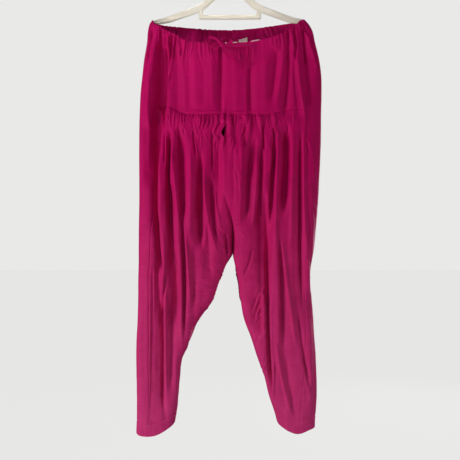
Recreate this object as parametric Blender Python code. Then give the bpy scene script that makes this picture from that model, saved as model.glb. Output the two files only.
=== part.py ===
"""Harem pants, a salwar of thin bright cloth, hung by the waist on a plain moulded hanger.

Every cloth piece is a strip of one draped surface. A place on it has two coordinates:

around  0 is the right edge of the front slit, 0.5 the wearer-left side (+X), 1 the centre back,
        1.5 the other side (-X) and 2 the left edge of the slit;
drop    the distance below the hook, in millimetres.

The surface starts from flattened sections, whose sizes are in SECTIONS. Folds, gathers and puckers
lift it off them or sink it, and each solid is a thin wall under it. Tables are in millimetres, the
meshes in metres. Z is up, X to the right as seen from the front, and the front faces -Y. The origin
is the inside top of the hook.
"""

import math

import bmesh
import bpy
import numpy as np
from mathutils import Vector

MM = 0.001

WALL = 2.0  # the cloth, with its seam allowances and creases
SEAM = 0.3  # what parts two pieces that are sewn together
SEAM_SHARE = 0.0004  # about half of that, as a share of the way around

CASING_DEPTH = 20.0
YOKE_SEAM = 420.0
CROTCH = 757.0
HEM_DEPTH = 28.0


# The slit at the centre front: its right edge laps over the left one, and below the yoke it gapes.
LAP_SHARE = 0.024
LAP_SINK = 5.0
SLIT_FOOT = 478.0
SLIT_FADE = 50.0
GAPE_LEFT = 0.022
GAPE_RIGHT = 0.002

# How far the points crowd towards the sides: 1 spaces them evenly along X.
EVENNESS = 0.6
CLOSING_STARTS = 600.0
INSEAM_RUN = 63.0

# Waves per half of the front or of the back.
PUCKERS = 20
PUCKER_HEIGHT = 1.3
PUCKER_RUN = 26.0
GATHERS = 20
GATHER_HEIGHT = 2.2
GATHER_RUN = 70.0
PUFF = 3.0

# Folds are placed where they are seen from this far in front, level with EYE_DROP.
EYE_DISTANCE = 1800.0
EYE_DROP = 698.0
DEEPEST = 20.0
BACK_SHARE = 0.8  # the back's folds are the front's turned round, and shallower
PLAIN_SIDE = 0.07  # the folds fade this near the side, and this near the inseam
PLAIN_INSEAM = 0.12

# One row for each drop: the outline's left and right edges, the centre line, how far the front and the
# back stand off, and below the crotch the inner edges of the two legs.
SECTION_COLUMNS = ("drop", "left", "right", "centre", "front", "back", "left_inner", "right_inner")
SECTIONS = (
    (184, -186.5, 184.5, -17, 37, 33, -17, -17),
    (196, -194.5, 195.5, -17, 39, 34, -17, -17),
    (208, -197.5, 202.5, -17, 40, 35, -17, -17),
    (240, -200.5, 210.5, -17, 41, 36, -17, -17),
    (282, -207.5, 220.5, -16, 42, 38, -16, -16),
    (318, -211.5, 225.5, -13, 44, 39, -13, -13),
    (367, -216.5, 226.5, -8, 46, 41, -8, -8),
    (412, -218.5, 225.5, -5, 48, 42, -5, -5),
    (502, -219.5, 224.5, -14, 54, 45, -14, -14),
    (564, -219.5, 221.5, -14, 55, 46, -14, -14),
    (625, -219.5, 218.5, -5, 54, 45, -5, -5),
    (686, -220.5, 213.5, 8, 50, 43, 8, 8),
    (757, -220.5, 205.5, 9, 46, 41, 9, 9),
    (784, -220.5, 199.5, 9, 44, 40, -7.5, 14.5),
    (820, -221.5, 197.5, 9, 43, 39, -24.5, 22.5),
    (870, -221.5, 202.5, 9, 42, 38, -43.5, 28.5),
    (911, -222.5, 205.5, 9, 41, 38, -71.5, 35.5),
    (963, -225.5, 208.5, 9, 40, 37, -93.5, 54.5),
    (1007, -226.5, 211.5, 9, 39, 36, -115.5, 68.5),
    (1053, -225.5, 213.5, 9, 38, 35, -121.5, 85.5),
    (1102, -224.5, 213.5, 9, 37, 34, -126.5, 97.5),
    (1144, -224.5, 210.5, 9, 36, 34, -129.5, 111.5),
    (1203, -226.5, 207.5, 9, 36, 34, -133.5, 125.5),
)

# The drop of the waist's edge, by the share of the way from the centre line out to the side. It hangs
# from the hanger's tips.
WAIST_COLUMNS = ("across", "front_left", "front_right", "back_left", "back_right")
WAIST = (
    (0.00, 252, 251, 199, 199),
    (0.20, 250, 248.5, 198, 198.5),
    (0.32, 248, 246, 196.5, 196.5),
    (0.44, 245, 240, 195.3, 194.5),
    (0.54, 237.5, 233.5, 194, 191.8),
    (0.63, 227, 225.5, 193, 190),
    (0.74, 216, 212.5, 192, 187.5),
    (0.82, 209, 203, 191, 186),
    (0.90, 200, 191.5, 189, 185),
    (0.96, 192, 187, 186.5, 184.5),
    (1.00, 184, 184, 184, 184),
)

# Where the seam between the side panel and the front lies, as a share of the way around each half.
SEAM_COLUMNS = ("drop", "left", "right")
SIDE_SEAMS = (
    (184, 0.430, 0.405),
    (412, 0.386, 0.372),
    (600, 0.378, 0.400),
    (757, 0.380, 0.399),
    (870, 0.371, 0.391),
    (1017, 0.318, 0.341),
    (1115, 0.308, 0.293),
    (1203, 0.306, 0.262),
)

# The lower edge of each cuff, by the share of the way around the leg from its inner edge.
HEM_COLUMNS = ("share", "left", "right")
HEMS = (
    (0.00, 1158, 1161),
    (0.12, 1175, 1176),
    (0.25, 1193, 1188),
    (0.35, 1195, 1181),
    (0.50, 1188, 1174),
    (0.75, 1177, 1169),
    (1.00, 1158, 1161),
)

# The largest folds of the front: where each starts and ends, its path across, its half width, and its
# height over the section, negative for a trough.
FOLD_COLUMNS = ("top", "bottom", "x_top", "x_middle", "x_bottom", "half_width", "height")
FOLDS = (
    # yoke, from left to right
    (245, 430, -179, -179, -177, 10, -13),
    (240, 420, -152, -152, -152, 8, 4),
    (240, 420, -140, -140, -140, 6, -6),
    (250, 430, -120, -120, -120, 7, -5),
    (245, 420, -105, -105, -105, 9, 4),
    (240, 430, -81, -81, -81, 14, 6),
    (240, 420, -60, -60, -60, 8, -7),
    (240, 420, -47, -37, -34, 8, 5),
    (245, 410, 15, 15, 15, 9, 4),
    (245, 430, 50, 50, 50, 8, -8),
    (245, 430, 73, 73, 73, 10, 6),
    (240, 420, 88, 88, 88, 5, -5),
    (240, 420, 99, 99, 99, 6, 4),
    (235, 420, 112, 112, 112, 6, -6),
    (225, 420, 137, 125, 118, 8, 6),
    (215, 430, 146, 146, 146, 7, -8),
    (200, 430, 154, 162, 181, 6, 6),
    (230, 420, 174, 174, 176, 5, -6),
    # hips, from left to right
    (425, 740, -174, -179, -172, 9, -14),
    (425, 740, -163, -161, -163, 9, 6),
    (430, 750, -145, -147, -142, 6, -8),
    (425, 730, -137, -135, -120, 7, 5),
    (435, 780, -120, -113, -108, 8, -9),
    (435, 760, -103, -100, -100, 10, 8),
    (470, 730, -83, -70, -78, 9, -13),
    (520, 755, -59, -50, -24, 10, 7),
    (600, 712, -42, -35, -26, 8, -6),
    (480, 640, 12, 10, 12, 20, 5),
    (490, 645, 51, 43, 37, 9, -8),
    (520, 712, 71, 62, 56, 8, 7),
    (620, 790, 78, 79, 80, 13, -9),
    (450, 650, 122, 114, 108, 7, 5),
    (560, 790, 112, 98, 96, 7, -12),
    (620, 790, 112, 113, 112, 9, 6),
    (430, 620, 142, 142, 132, 6, -8),
    (450, 760, 154, 150, 152, 11, 8),
    (425, 760, 174, 172, 174, 5, -6),
    (500, 770, 184, 182, 191, 6, 5),
    # left leg
    (745, 1175, -189, -193, -193, 4, -3),
    (735, 885, -162, -166, -174, 10, 6),
    (820, 1120, -157, -157, -157, 8, 5),
    (740, 1120, -145, -143, -140, 7, -9),
    (735, 980, -125, -128, -132, 8, 6),
    (735, 985, -110, -110, -113, 7, -11),
    (735, 945, -100, -95, -100, 8, 5),
    # right leg
    (745, 900, 40, 40, 44, 11, 5),
    (735, 885, 70, 70, 71, 10, -7),
    (735, 1095, 93, 97, 103, 8, -12),
    (745, 1130, 110, 113, 118, 9, 8),
    (745, 980, 127, 138, 145, 7, -7),
    (720, 985, 127, 150, 174, 6, 4),
    (865, 1080, 162, 176, 200, 9, -8),
    (960, 1160, 157, 169, 174, 11, 7),
    (1010, 1155, 127, 142, 157, 8, -7),
)

# The rows of each solid, as levels: -1 to 0 is the casing, 0 to 1 the yoke, 1 to 2 the hips from the
# yoke seam to the crotch, 2 to 3 the leg, and 3 to 4 the hem band.
CASING_LEVELS = (-1.0, -0.5, 0.0)
YOKE_LEVELS = (0.0, 0.1, 0.24, 0.46, 0.72, 1.0)
GATHER_LEVELS = (1.0, 1.03, 1.08, 1.15)
HIP_LEVELS = (1.26, 1.41, 1.56, 1.71, 1.86, 2.0, 2.1)
LEG_LEVELS = (2.24, 2.4, 2.56, 2.72, 2.87, 3.0)
HEM_LEVELS = (3.0, 3.5, 4.0)
CASING_COLUMNS = 2 * PUCKERS
YOKE_COLUMNS = 20
SIDE_COLUMNS = 8
HEM_RING = 32

# Trim inside the waist. Drops are from the waist edge; the tape stands 2.5 mm over it.
TRIM_THICK = 0.8
TAPE_COLUMNS = (1, 15)
TAPE_DROPS = (-2.5, 0.0, CASING_DEPTH / 2)
LABEL_PLACES = (0.885, 0.925)
LABEL_DROPS = (23.0, 29.5, 36.0)
LABEL_SLOPE = 6.0
LABEL_GAP = 0.9

CLOTH = (0.42, 0.008, 0.13)
CORD_CLOTH = (0.50, 0.015, 0.17)
TAPE_CLOTH = (0.85, 0.72, 0.75)
LABEL_CLOTH = (0.62, 0.56, 0.54)
PLASTIC = (0.76, 0.70, 0.62)
CLOTH_ROUGHNESS = 0.62
PLASTIC_ROUGHNESS = 0.4

CORD_DIAMETER = 4.0

# The hanger, seen from the front: X from its middle, and the drop. The left half mirrors the right.
HANGER_CENTRE = 1.0
ARM_THICK = 8.0
ARM_PATH = (
    (0, 104),
    (14, 107),
    (30, 118),
    (46, 133),
    (61, 147),
    (76, 156),
    (96, 164),
    (121, 173),
    (146, 182),
)
ARM_RINGS = 29
ARM_TIP_DROP = 190.0
ARM_TIP_GAP = 3.8
ARM_REACH = (0.0, 12.0, 45.0, 180.0)
ARM_HEIGHTS = (22.0, 18.0, 14.0, 12.0)
TIP_ROUND = 6.0
TIP_RISE = 1.5
TIP_PROFILE = ((2.5, 0.86), (4.8, 0.55), (6.0, 0.2))
BAR_PATH = (
    (-68.6, 162.9),
    (-72, 169.5),
    (-71, 176),
    (-62, 179),
    (0, 179),
    (62, 179),
    (71, 176),
    (72, 169.5),
    (68.6, 162.9),
)
BAR_SIZE = 7.0
BAR_RINGS = 21
HOOK_INNER_RADIUS = 20.0
HOOK_ROD = 7.0
HOOK_RINGS = 30
HOOK_TURN = (-5.0, 205.0)
HOOK_STEM = ((1.0, 93.4), (1.0, 76.0), (2.5, 62.0), (10.0, 49.0), (18.0, 37.0))


def column(table, names, wanted):
    """One named column of a table, as an array."""
    return np.array([row[names.index(wanted)] for row in table], float)


def read_table(table, names, wanted, places):
    """The column's values at the places given, along a smooth curve through the rows."""
    known = column(table, names, names[0])
    values = column(table, names, wanted)
    slopes = np.gradient(values, known)
    places = np.clip(places, known[0], known[-1])
    row = np.clip(np.searchsorted(known, places) - 1, 0, len(known) - 2)
    step = known[row + 1] - known[row]
    u = (places - known[row]) / step
    start = values[row] * (1 + 2 * u) * (1 - u) ** 2 + slopes[row] * step * u * (1 - u) ** 2
    end = values[row + 1] * (3 - 2 * u) * u**2 - slopes[row + 1] * step * (1 - u) * u**2
    return start + end


def ramp(x):
    """0 below 0, 1 above 1, and a soft step between."""
    x = np.clip(x, 0.0, 1.0)
    return x * x * (3.0 - 2.0 * x)


def side_and_share(around):
    """Which half a place is on (-1 left, 1 right), and its share of the way from front to back."""
    around = np.asarray(around, float)
    side = np.where(around <= 1.0, 1.0, -1.0)
    return side, np.where(around <= 1.0, around, 2.0 - around)


def by_side(table, names, side, places):
    left = read_table(table, names, "left", places)
    right = read_table(table, names, "right", places)
    return np.where(side < 0, left, right)


def turn_of(share):
    """The angle round a flattened section: 0 at its centre line and a quarter turn at its side."""
    way = 1.0 - np.abs(1.0 - 2.0 * share)
    return (1.0 - EVENNESS) * math.pi / 2 * way + EVENNESS * np.arcsin(np.clip(way, -1.0, 1.0))


def section(side, share, drop):
    """X and Y of the plain section: half of the body above, one whole leg below."""
    outer = by_side(SECTIONS, SECTION_COLUMNS, side, drop)
    centre = read_table(SECTIONS, SECTION_COLUMNS, "centre", drop)
    left_inner = read_table(SECTIONS, SECTION_COLUMNS, "left_inner", drop)
    right_inner = read_table(SECTIONS, SECTION_COLUMNS, "right_inner", drop)
    inner = np.where(drop < CROTCH, centre, np.where(side < 0, left_inner, right_inner))
    front = read_table(SECTIONS, SECTION_COLUMNS, "front", drop)
    back = read_table(SECTIONS, SECTION_COLUMNS, "back", drop)
    depth = np.where(share < 0.5, -front, back)
    turn = turn_of(share)
    body_x = centre + (outer - centre) * np.sin(turn)
    body_y = depth * np.cos(turn)
    leg_x = (inner + outer) / 2 + (inner - outer) / 2 * np.cos(2 * math.pi * share)
    leg_y = depth * np.abs(np.sin(2 * math.pi * share))
    closed = ramp((drop - CLOSING_STARTS) / (CROTCH - CLOSING_STARTS))
    return body_x + (leg_x - body_x) * closed, body_y + (leg_y - body_y) * closed


def facing(side, share, drop):
    """The unit vector straight out of the section."""
    step = 1e-4
    x_before, y_before = section(side, share - step, drop)
    x_after, y_after = section(side, share + step, drop)
    along_x = x_after - x_before
    along_y = y_after - y_before
    length = np.hypot(along_x, along_y)
    return side * along_y / length, -side * along_x / length


def folds(x, y, drop, share):
    """How far the large folds lift the cloth."""
    is_back = share > 0.5
    nearer = 1.0 + np.abs(y) / EYE_DISTANCE
    seen_x = np.where(is_back, -x, x) * nearer
    seen_drop = EYE_DROP + (drop - EYE_DROP) * nearer
    total = np.zeros_like(x)
    for top, bottom, x_top, x_middle, x_bottom, half_width, height in FOLDS:
        way = np.clip((seen_drop - top) / (bottom - top), 0.0, 1.0)
        handle = 2.0 * x_middle - (x_top + x_bottom) / 2.0
        path = x_top * (1 - way) ** 2 + 2.0 * handle * way * (1 - way) + x_bottom * way**2
        run = 0.25 * (bottom - top)
        fade = ramp((seen_drop - top) / run) * ramp((bottom - seen_drop) / run)
        total += height * fade * np.exp(-(((seen_x - path) / half_width) ** 2))
    total = np.maximum(total, -DEEPEST) * np.where(is_back, BACK_SHARE, 1.0)
    return total * ramp(np.abs(share - 0.5) / PLAIN_SIDE)


def inner_start(side, drop):
    """Where the front starts beside the centre line: the slit gapes below the yoke."""
    gape = np.where(side < 0, GAPE_LEFT, GAPE_RIGHT)
    below = ramp((drop - (YOKE_SEAM - 1.0)) / 1.0)
    return gape * below * np.clip((SLIT_FOOT - drop) / (SLIT_FOOT - YOKE_SEAM), 0.0, 1.0)


def gathers(side, share, drop):
    """Small pleats where the fullness is sewn into the yoke, fading as they fall."""
    seam = by_side(SIDE_SEAMS, SEAM_COLUMNS, side, drop)
    from_centre = np.where(share < 0.5, share, 1.0 - share)
    start = np.where(share < 0.5, inner_start(side, drop), 0.0)
    way = np.clip((from_centre - start) / (seam - start), 0.0, 1.0)
    uneven = 0.8 + 0.2 * np.sin(17.0 * way + 2.0 * side)
    below = np.clip(drop - YOKE_SEAM, 0.0, None)
    fade = ramp(1.0 - below / GATHER_RUN) * ramp((1.0 - way) / 0.06)
    held = ramp((drop - YOKE_SEAM + 1.0) / 1.0)
    wave = GATHER_HEIGHT * uneven * np.cos(2 * math.pi * GATHERS * way)
    return held * fade * (PUFF * ramp(below / 12.0) + wave * (0.45 + 0.55 * ramp(below / 10.0)))


def puckers(share, drop, waist):
    """Short waves where the drawstring draws the casing in."""
    below = drop - waist
    fade = ramp(1.0 - (below - CASING_DEPTH) / PUCKER_RUN)
    uneven = 0.75 + 0.25 * np.sin(29.0 * share)
    at_tip = ramp(np.abs(share - 0.5) / 0.05)
    return PUCKER_HEIGHT * uneven * fade * at_tip * np.cos(4 * math.pi * PUCKERS * share)


def waist_edge(side, share):
    """The drop of the casing's upper edge."""
    across = np.abs(np.sin(turn_of(share)))
    left_front = read_table(WAIST, WAIST_COLUMNS, "front_left", across)
    right_front = read_table(WAIST, WAIST_COLUMNS, "front_right", across)
    left_back = read_table(WAIST, WAIST_COLUMNS, "back_left", across)
    right_back = read_table(WAIST, WAIST_COLUMNS, "back_right", across)
    front = np.where(side < 0, left_front, right_front)
    back = np.where(side < 0, left_back, right_back)
    return np.where(share < 0.5, front, back)


def lap(side, share, drop):
    """The left edge of the slit goes under the right one."""
    under = ramp((LAP_SHARE - share) / LAP_SHARE) * ramp((SLIT_FOOT - drop) / SLIT_FADE)
    return np.where(side < 0, -LAP_SINK * under, 0.0)


def draped(around, drop, inset=0.0):
    """Points of the cloth's outer face, or of a face that lies inset under it, in metres."""
    side, share = side_and_share(around)
    drop = np.asarray(drop, float) + np.zeros_like(share)
    x, y = section(side, share, drop)
    out_x, out_y = facing(side, share, drop)
    lift = folds(x, y, drop, share) + gathers(side, share, drop)
    lift += puckers(share, drop, waist_edge(side, share)) + lap(side, share, drop)
    # Where the two faces of a leg close on each other, nothing lifts off its inner edge.
    closing = ramp((drop - CLOSING_STARTS) / INSEAM_RUN)
    near_inner = 1.0 - ramp(np.minimum(share, 1.0 - share) / PLAIN_INSEAM)
    away = lift * (1.0 - closing * near_inner) - inset
    return np.stack([x + out_x * away, y + out_y * away, -drop], axis=-1) * MM


def drop_at(around, level):
    """The drop of a level at a place around."""
    side, share = side_and_share(around)
    waist = waist_edge(side, share)
    hem = by_side(HEMS, HEM_COLUMNS, side, np.clip(share, 0.0, 1.0))
    knots = (waist, waist + CASING_DEPTH, YOKE_SEAM + 0.0 * waist, CROTCH, hem - HEM_DEPTH, hem)
    zone = min(math.floor(level) + 1, len(knots) - 2)
    way = level - (zone - 1)
    return knots[zone] + (knots[zone + 1] - knots[zone]) * way


def edge_place(edge, level):
    """The place around of a seam at a level: a seam is a function of the drop."""
    around = edge(YOKE_SEAM)
    for _ in range(4):
        around = edge(float(drop_at(around, level)))
    return around


def centre_right(drop):
    return float(inner_start(1.0, drop)) + SEAM_SHARE


def centre_left(drop):
    return 2.0 - float(inner_start(-1.0, drop)) - SEAM_SHARE


def lap_left(drop):
    return 2.0 + LAP_SHARE


def centre_back(drop):
    return 1.0


def side_tip_right(drop):
    return 0.5


def side_tip_left(drop):
    return 1.5


def seam_front_right(drop):
    return float(read_table(SIDE_SEAMS, SEAM_COLUMNS, "right", drop))


def seam_back_right(drop):
    return 1.0 - seam_front_right(drop)


def seam_front_left(drop):
    return 2.0 - float(read_table(SIDE_SEAMS, SEAM_COLUMNS, "left", drop))


def seam_back_left(drop):
    return 3.0 - seam_front_left(drop)


def material(name, color, roughness):
    made = bpy.data.materials.new(name)
    made.use_nodes = True
    shader = made.node_tree.nodes["Principled BSDF"]
    shader.inputs["Base Color"].default_value = (*color, 1.0)
    shader.inputs["Roughness"].default_value = roughness
    shader.inputs["Metallic"].default_value = 0.0
    return made


def add_object(name, bm, color, roughness):
    """Makes an object of a bmesh, shaded smooth, with a material of its own."""
    bmesh.ops.recalc_face_normals(bm, faces=bm.faces)
    if bm.calc_volume(signed=True) < 0:
        bmesh.ops.reverse_faces(bm, faces=bm.faces)
    mesh = bpy.data.meshes.new(name)
    bm.to_mesh(mesh)
    bm.free()
    mesh.shade_smooth()
    mesh.set_sharp_from_angle(angle=math.radians(50))
    mesh.materials.append(material(name, color, roughness))
    made = bpy.data.objects.new(name, mesh)
    bpy.context.scene.collection.objects.link(made)


def join_rows(bm, upper, lower):
    """Faces between two rows: as many columns below as above, or half as many."""
    if len(upper) == len(lower):
        for j in range(len(upper) - 1):
            bm.faces.new((upper[j], lower[j], lower[j + 1], upper[j + 1]))
        return
    for j in range(len(lower) - 1):
        left, middle, right = upper[2 * j : 2 * j + 3]
        bm.faces.new((left, lower[j], middle))
        bm.faces.new((middle, lower[j], lower[j + 1]))
        bm.faces.new((middle, lower[j + 1], right))


def wall_from_rows(name, rows, inner_rows, color):
    """A closed wall: rows of points on its outer face, and the matching points of its inner face."""
    bm = bmesh.new()
    place = bm.verts.layers.int.new("place")
    made = []
    for points in rows:
        made.append([bm.verts.new(point) for point in points])
    for index, vert in enumerate(bm.verts):
        vert[place] = index
    for upper, lower in zip(made, made[1:]):
        join_rows(bm, upper, lower)
    bmesh.ops.triangulate(bm, faces=bm.faces)
    inner = np.concatenate(inner_rows)
    extruded = bmesh.ops.extrude_face_region(bm, geom=bm.faces[:])
    for element in extruded["geom"]:
        if isinstance(element, bmesh.types.BMVert):
            element.co = Vector(inner[element[place]])
    add_object(name, bm, color, CLOTH_ROUGHNESS)


def cloth_piece(name, start, end, levels, columns):
    """One cut piece between two seams, a seam's gap short of the piece below it."""
    rows = []
    inner_rows = []
    for level, count in zip(levels, columns):
        first = edge_place(start, level) + SEAM_SHARE
        last = edge_place(end, level) - SEAM_SHARE
        around = np.linspace(first, last, count + 1)
        drop = drop_at(around, level) - (SEAM if level == levels[-1] else 0.0)
        rows.append(draped(around, drop))
        inner_rows.append(draped(around, drop, WALL))
    wall_from_rows(name, rows, inner_rows, CLOTH)


def make_cloth():
    """Every cut piece. Columns are halved where the puckers and the gathers have faded."""
    casing = [CASING_COLUMNS] * len(CASING_LEVELS)
    back_casing = [2 * count for count in casing]
    cloth_piece("casing_front_right", centre_right, side_tip_right, CASING_LEVELS, casing)
    cloth_piece("casing_back", side_tip_right, side_tip_left, CASING_LEVELS, back_casing)
    cloth_piece("casing_front_left", side_tip_left, lap_left, CASING_LEVELS, casing)
    yoke = [2 * YOKE_COLUMNS] * 2 + [YOKE_COLUMNS] * (len(YOKE_LEVELS) - 2)
    back_yoke = [2 * count for count in yoke]
    cloth_piece("yoke_front_right", centre_right, seam_front_right, YOKE_LEVELS, yoke)
    cloth_piece("yoke_front_left", seam_front_left, lap_left, YOKE_LEVELS, yoke)
    cloth_piece("yoke_back", seam_back_right, seam_back_left, YOKE_LEVELS, back_yoke)
    leg_levels = GATHER_LEVELS + HIP_LEVELS + LEG_LEVELS
    leg = [2 * GATHERS] * len(GATHER_LEVELS) + [GATHERS] * len(HIP_LEVELS)
    leg += [GATHERS // 2] * len(LEG_LEVELS)
    cloth_piece("front_leg_right", centre_right, seam_front_right, leg_levels, leg)
    cloth_piece("back_leg_right", seam_back_right, centre_back, leg_levels, leg)
    cloth_piece("back_leg_left", centre_back, seam_back_left, leg_levels, leg)
    cloth_piece("front_leg_left", seam_front_left, centre_left, leg_levels, leg)
    side_levels = YOKE_LEVELS + leg_levels[1:]
    side = [SIDE_COLUMNS] * len(side_levels)
    cloth_piece("side_panel_right", seam_front_right, seam_back_right, side_levels, side)
    cloth_piece("side_panel_left", seam_back_left, seam_front_left, side_levels, side)
    make_hem("hem_band_right", 0.0, 1.0)
    make_hem("hem_band_left", 1.0, 2.0)


def make_hem(name, first, last):
    """A band right round the cuff."""
    columns = HEM_RING
    bm = bmesh.new()
    rings = []
    for inset in (0.0, WALL):
        for level in HEM_LEVELS:
            around = np.linspace(first, last, columns, endpoint=False) + 0.5 * SEAM_SHARE
            points = draped(around, drop_at(around, level), inset)
            rings.append([bm.verts.new(point) for point in points])
    outer = rings[: len(HEM_LEVELS)]
    inner = rings[len(HEM_LEVELS) :]
    loop = outer + inner[::-1]
    for upper, lower in zip(loop, loop[1:] + loop[:1]):
        for j in range(columns):
            after = (j + 1) % columns
            bm.faces.new((upper[j], lower[j], lower[after], upper[after]))
    add_object(name, bm, CLOTH, CLOTH_ROUGHNESS)


def patch(name, around, drops, slope, inset, thickness, color):
    """A thin piece that lies on the cloth's inner face, made from the cloth's own points."""
    side, share = side_and_share(around)
    rows = []
    inner_rows = []
    for below in drops:
        drop = waist_edge(side, share) + below + slope * np.linspace(-0.5, 0.5, len(around))
        rows.append(draped(around, drop, inset))
        inner_rows.append(draped(around, drop, inset + thickness))
    wall_from_rows(name, rows, inner_rows, color)


def make_trim():
    """The narrow white edge inside the front casing, and the blank size label inside the back."""
    casing_columns = np.linspace(2 * SEAM_SHARE, 0.5 - SEAM_SHARE, CASING_COLUMNS + 1)
    behind_casing = casing_columns[TAPE_COLUMNS[0] : TAPE_COLUMNS[1] + 1]
    patch("inner_tape", behind_casing, TAPE_DROPS, 0.0, WALL + SEAM, TRIM_THICK, TAPE_CLOTH)
    places = np.linspace(LABEL_PLACES[0], LABEL_PLACES[1], 7)
    patch("size_label", places, LABEL_DROPS, LABEL_SLOPE, WALL + LABEL_GAP, TRIM_THICK, LABEL_CLOTH)


def swept(name, path, widths, heights, sides):
    """An oval bar along a path in the XZ plane, with a size across and a size up at each point."""
    bm = bmesh.new()
    rings = []
    for i, point in enumerate(path):
        before = path[max(i - 1, 0)]
        after = path[min(i + 1, len(path) - 1)]
        along = (Vector(after) - Vector(before)).normalized()
        up = along.cross(Vector((0, 1, 0)))
        ring = []
        for k in range(sides):
            angle = 2 * math.pi * k / sides
            off = Vector((0, widths[i] / 2 * math.cos(angle), 0)) + up * (heights[i] / 2 * math.sin(angle))
            ring.append(bm.verts.new((Vector(point) + off) * MM))
        rings.append(ring)
    for ring, following in zip(rings, rings[1:]):
        for k in range(sides):
            other = (k + 1) % sides
            bm.faces.new((ring[k], ring[other], following[other], following[k]))
    bm.faces.new(rings[0])
    bm.faces.new(rings[-1][::-1])
    add_object(name, bm, PLASTIC, PLASTIC_ROUGHNESS)


def smooth_path(points, count):
    """Points read evenly from a smooth curve through the ones given."""
    points = np.array(points, float)
    known = np.concatenate([[0.0], np.cumsum(np.linalg.norm(np.diff(points, axis=0), axis=1))])
    wanted = np.linspace(0.0, known[-1], count)
    names = ("way", "value")
    axes = []
    for axis in range(points.shape[1]):
        table = tuple(zip(known, points[:, axis]))
        axes.append(read_table(table, names, "value", wanted))
    return np.stack(axes, axis=-1)


def arm_tip(around):
    """X where an arm ends, just inside the cloth at the side of the waist."""
    inside = draped(np.array([around]), np.array([ARM_TIP_DROP]), WALL + ARM_TIP_GAP)[0]
    return inside[0] / MM


def make_arms():
    """Both arms in one bar, which rises to the middle and has a rounded tip at each end."""
    left = arm_tip(1.5)
    right = arm_tip(0.5)
    slope = [(HANGER_CENTRE - x, drop) for x, drop in ARM_PATH[:0:-1]]
    slope += [(HANGER_CENTRE + x, drop) for x, drop in ARM_PATH]
    left_end = (left + TIP_ROUND, ARM_TIP_DROP - TIP_RISE)
    right_end = (right - TIP_ROUND, ARM_TIP_DROP - TIP_RISE)
    line = smooth_path([left_end] + slope + [right_end], ARM_RINGS)
    path = [(x, 0.0, -drop) for x, drop in line]
    from_middle = np.abs(line[:, 0] - HANGER_CENTRE)
    heights = list(np.interp(from_middle, ARM_REACH, ARM_HEIGHTS))
    widths = [ARM_THICK] * ARM_RINGS
    for reach, share in TIP_PROFILE:
        drop = ARM_TIP_DROP - TIP_RISE * (1.0 - reach / TIP_ROUND)
        path = [(left + TIP_ROUND - reach, 0.0, -drop)] + path + [(right - TIP_ROUND + reach, 0.0, -drop)]
        heights = [ARM_HEIGHTS[-1] * share] + heights + [ARM_HEIGHTS[-1] * share]
        widths = [ARM_THICK * share] + widths + [ARM_THICK * share]
    swept("hanger_arms", path, widths, heights, 10)


def make_hanger():
    """The arms, the tie bar that hangs under them on its two posts, and the hook, all of one plastic."""
    make_arms()
    bar = smooth_path([(HANGER_CENTRE + x, drop) for x, drop in BAR_PATH], BAR_RINGS)
    sizes = [BAR_SIZE] * BAR_RINGS
    swept("hanger_tie_bar", [(x, 0.0, -drop) for x, drop in bar], sizes, sizes, 8)
    radius = HOOK_INNER_RADIUS + HOOK_ROD / 2
    turns = np.radians(np.linspace(*HOOK_TURN, HOOK_RINGS // 2))
    bend = [(radius * math.cos(a), HOOK_INNER_RADIUS - radius * math.sin(a)) for a in turns]
    line = smooth_path(list(HOOK_STEM) + bend, HOOK_RINGS)
    path = [(x, 0.0, -drop) for x, drop in line]
    sizes = [HOOK_ROD] * HOOK_RINGS
    swept("hanger_hook", path, sizes, sizes, 10)


# The drawstring is tied at the slit, in front of the casing. Points are X, Y and drop.
KNOT = (-15.0, -47.0, 258.0)
KNOT_SIZE = (13.0, 9.0, 11.0)
LOOP_ROUTE = (
    (-21.1, -47.9, 255.6),
    (-27.0, -48.5, 249.5),
    (-36.0, -49.0, 242.8),
    (-45.0, -48.8, 240.8),
    (-51.0, -48.5, 246.0),
    (-50.5, -48.7, 254.0),
    (-44.0, -49.0, 260.5),
    (-34.0, -49.2, 262.4),
    (-21.0, -48.5, 260.6),
)
RIGHT_ROUTE = (
    (-8.4, -47.0, 257.0),
    (4.0, -47.8, 257.5),
    (18.0, -47.8, 258.5),
    (32.0, -47.3, 257.0),
    (44.0, -46.8, 257.0),
    (51.5, -46.5, 263.5),
    (52.0, -46.5, 277.0),
    (49.5, -46.5, 293.0),
    (46.5, -46.5, 312.0),
)
LEFT_ROUTE = (
    (-11.6, -48.6, 263.3),
    (-4.0, -50.0, 269.5),
    (6.0, -50.3, 276.0),
    (17.0, -50.3, 287.0),
    (26.0, -50.0, 300.0),
    (31.0, -50.0, 316.0),
)


def cord(name, route, count):
    """A round cord along a smooth curve through its route."""
    line = smooth_path(route, count)
    curve = bpy.data.curves.new(name, "CURVE")
    curve.dimensions = "3D"
    curve.bevel_depth = CORD_DIAMETER / 2 * MM
    curve.bevel_resolution = 2
    curve.use_fill_caps = True
    spline = curve.splines.new("POLY")
    spline.points.add(count - 1)
    for point, (x, y, drop) in zip(spline.points, line):
        point.co = (x * MM, y * MM, -drop * MM, 1.0)
    spline.use_smooth = True
    curve.materials.append(material(name, CORD_CLOTH, CLOTH_ROUGHNESS))
    made = bpy.data.objects.new(name, curve)
    bpy.context.scene.collection.objects.link(made)


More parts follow.
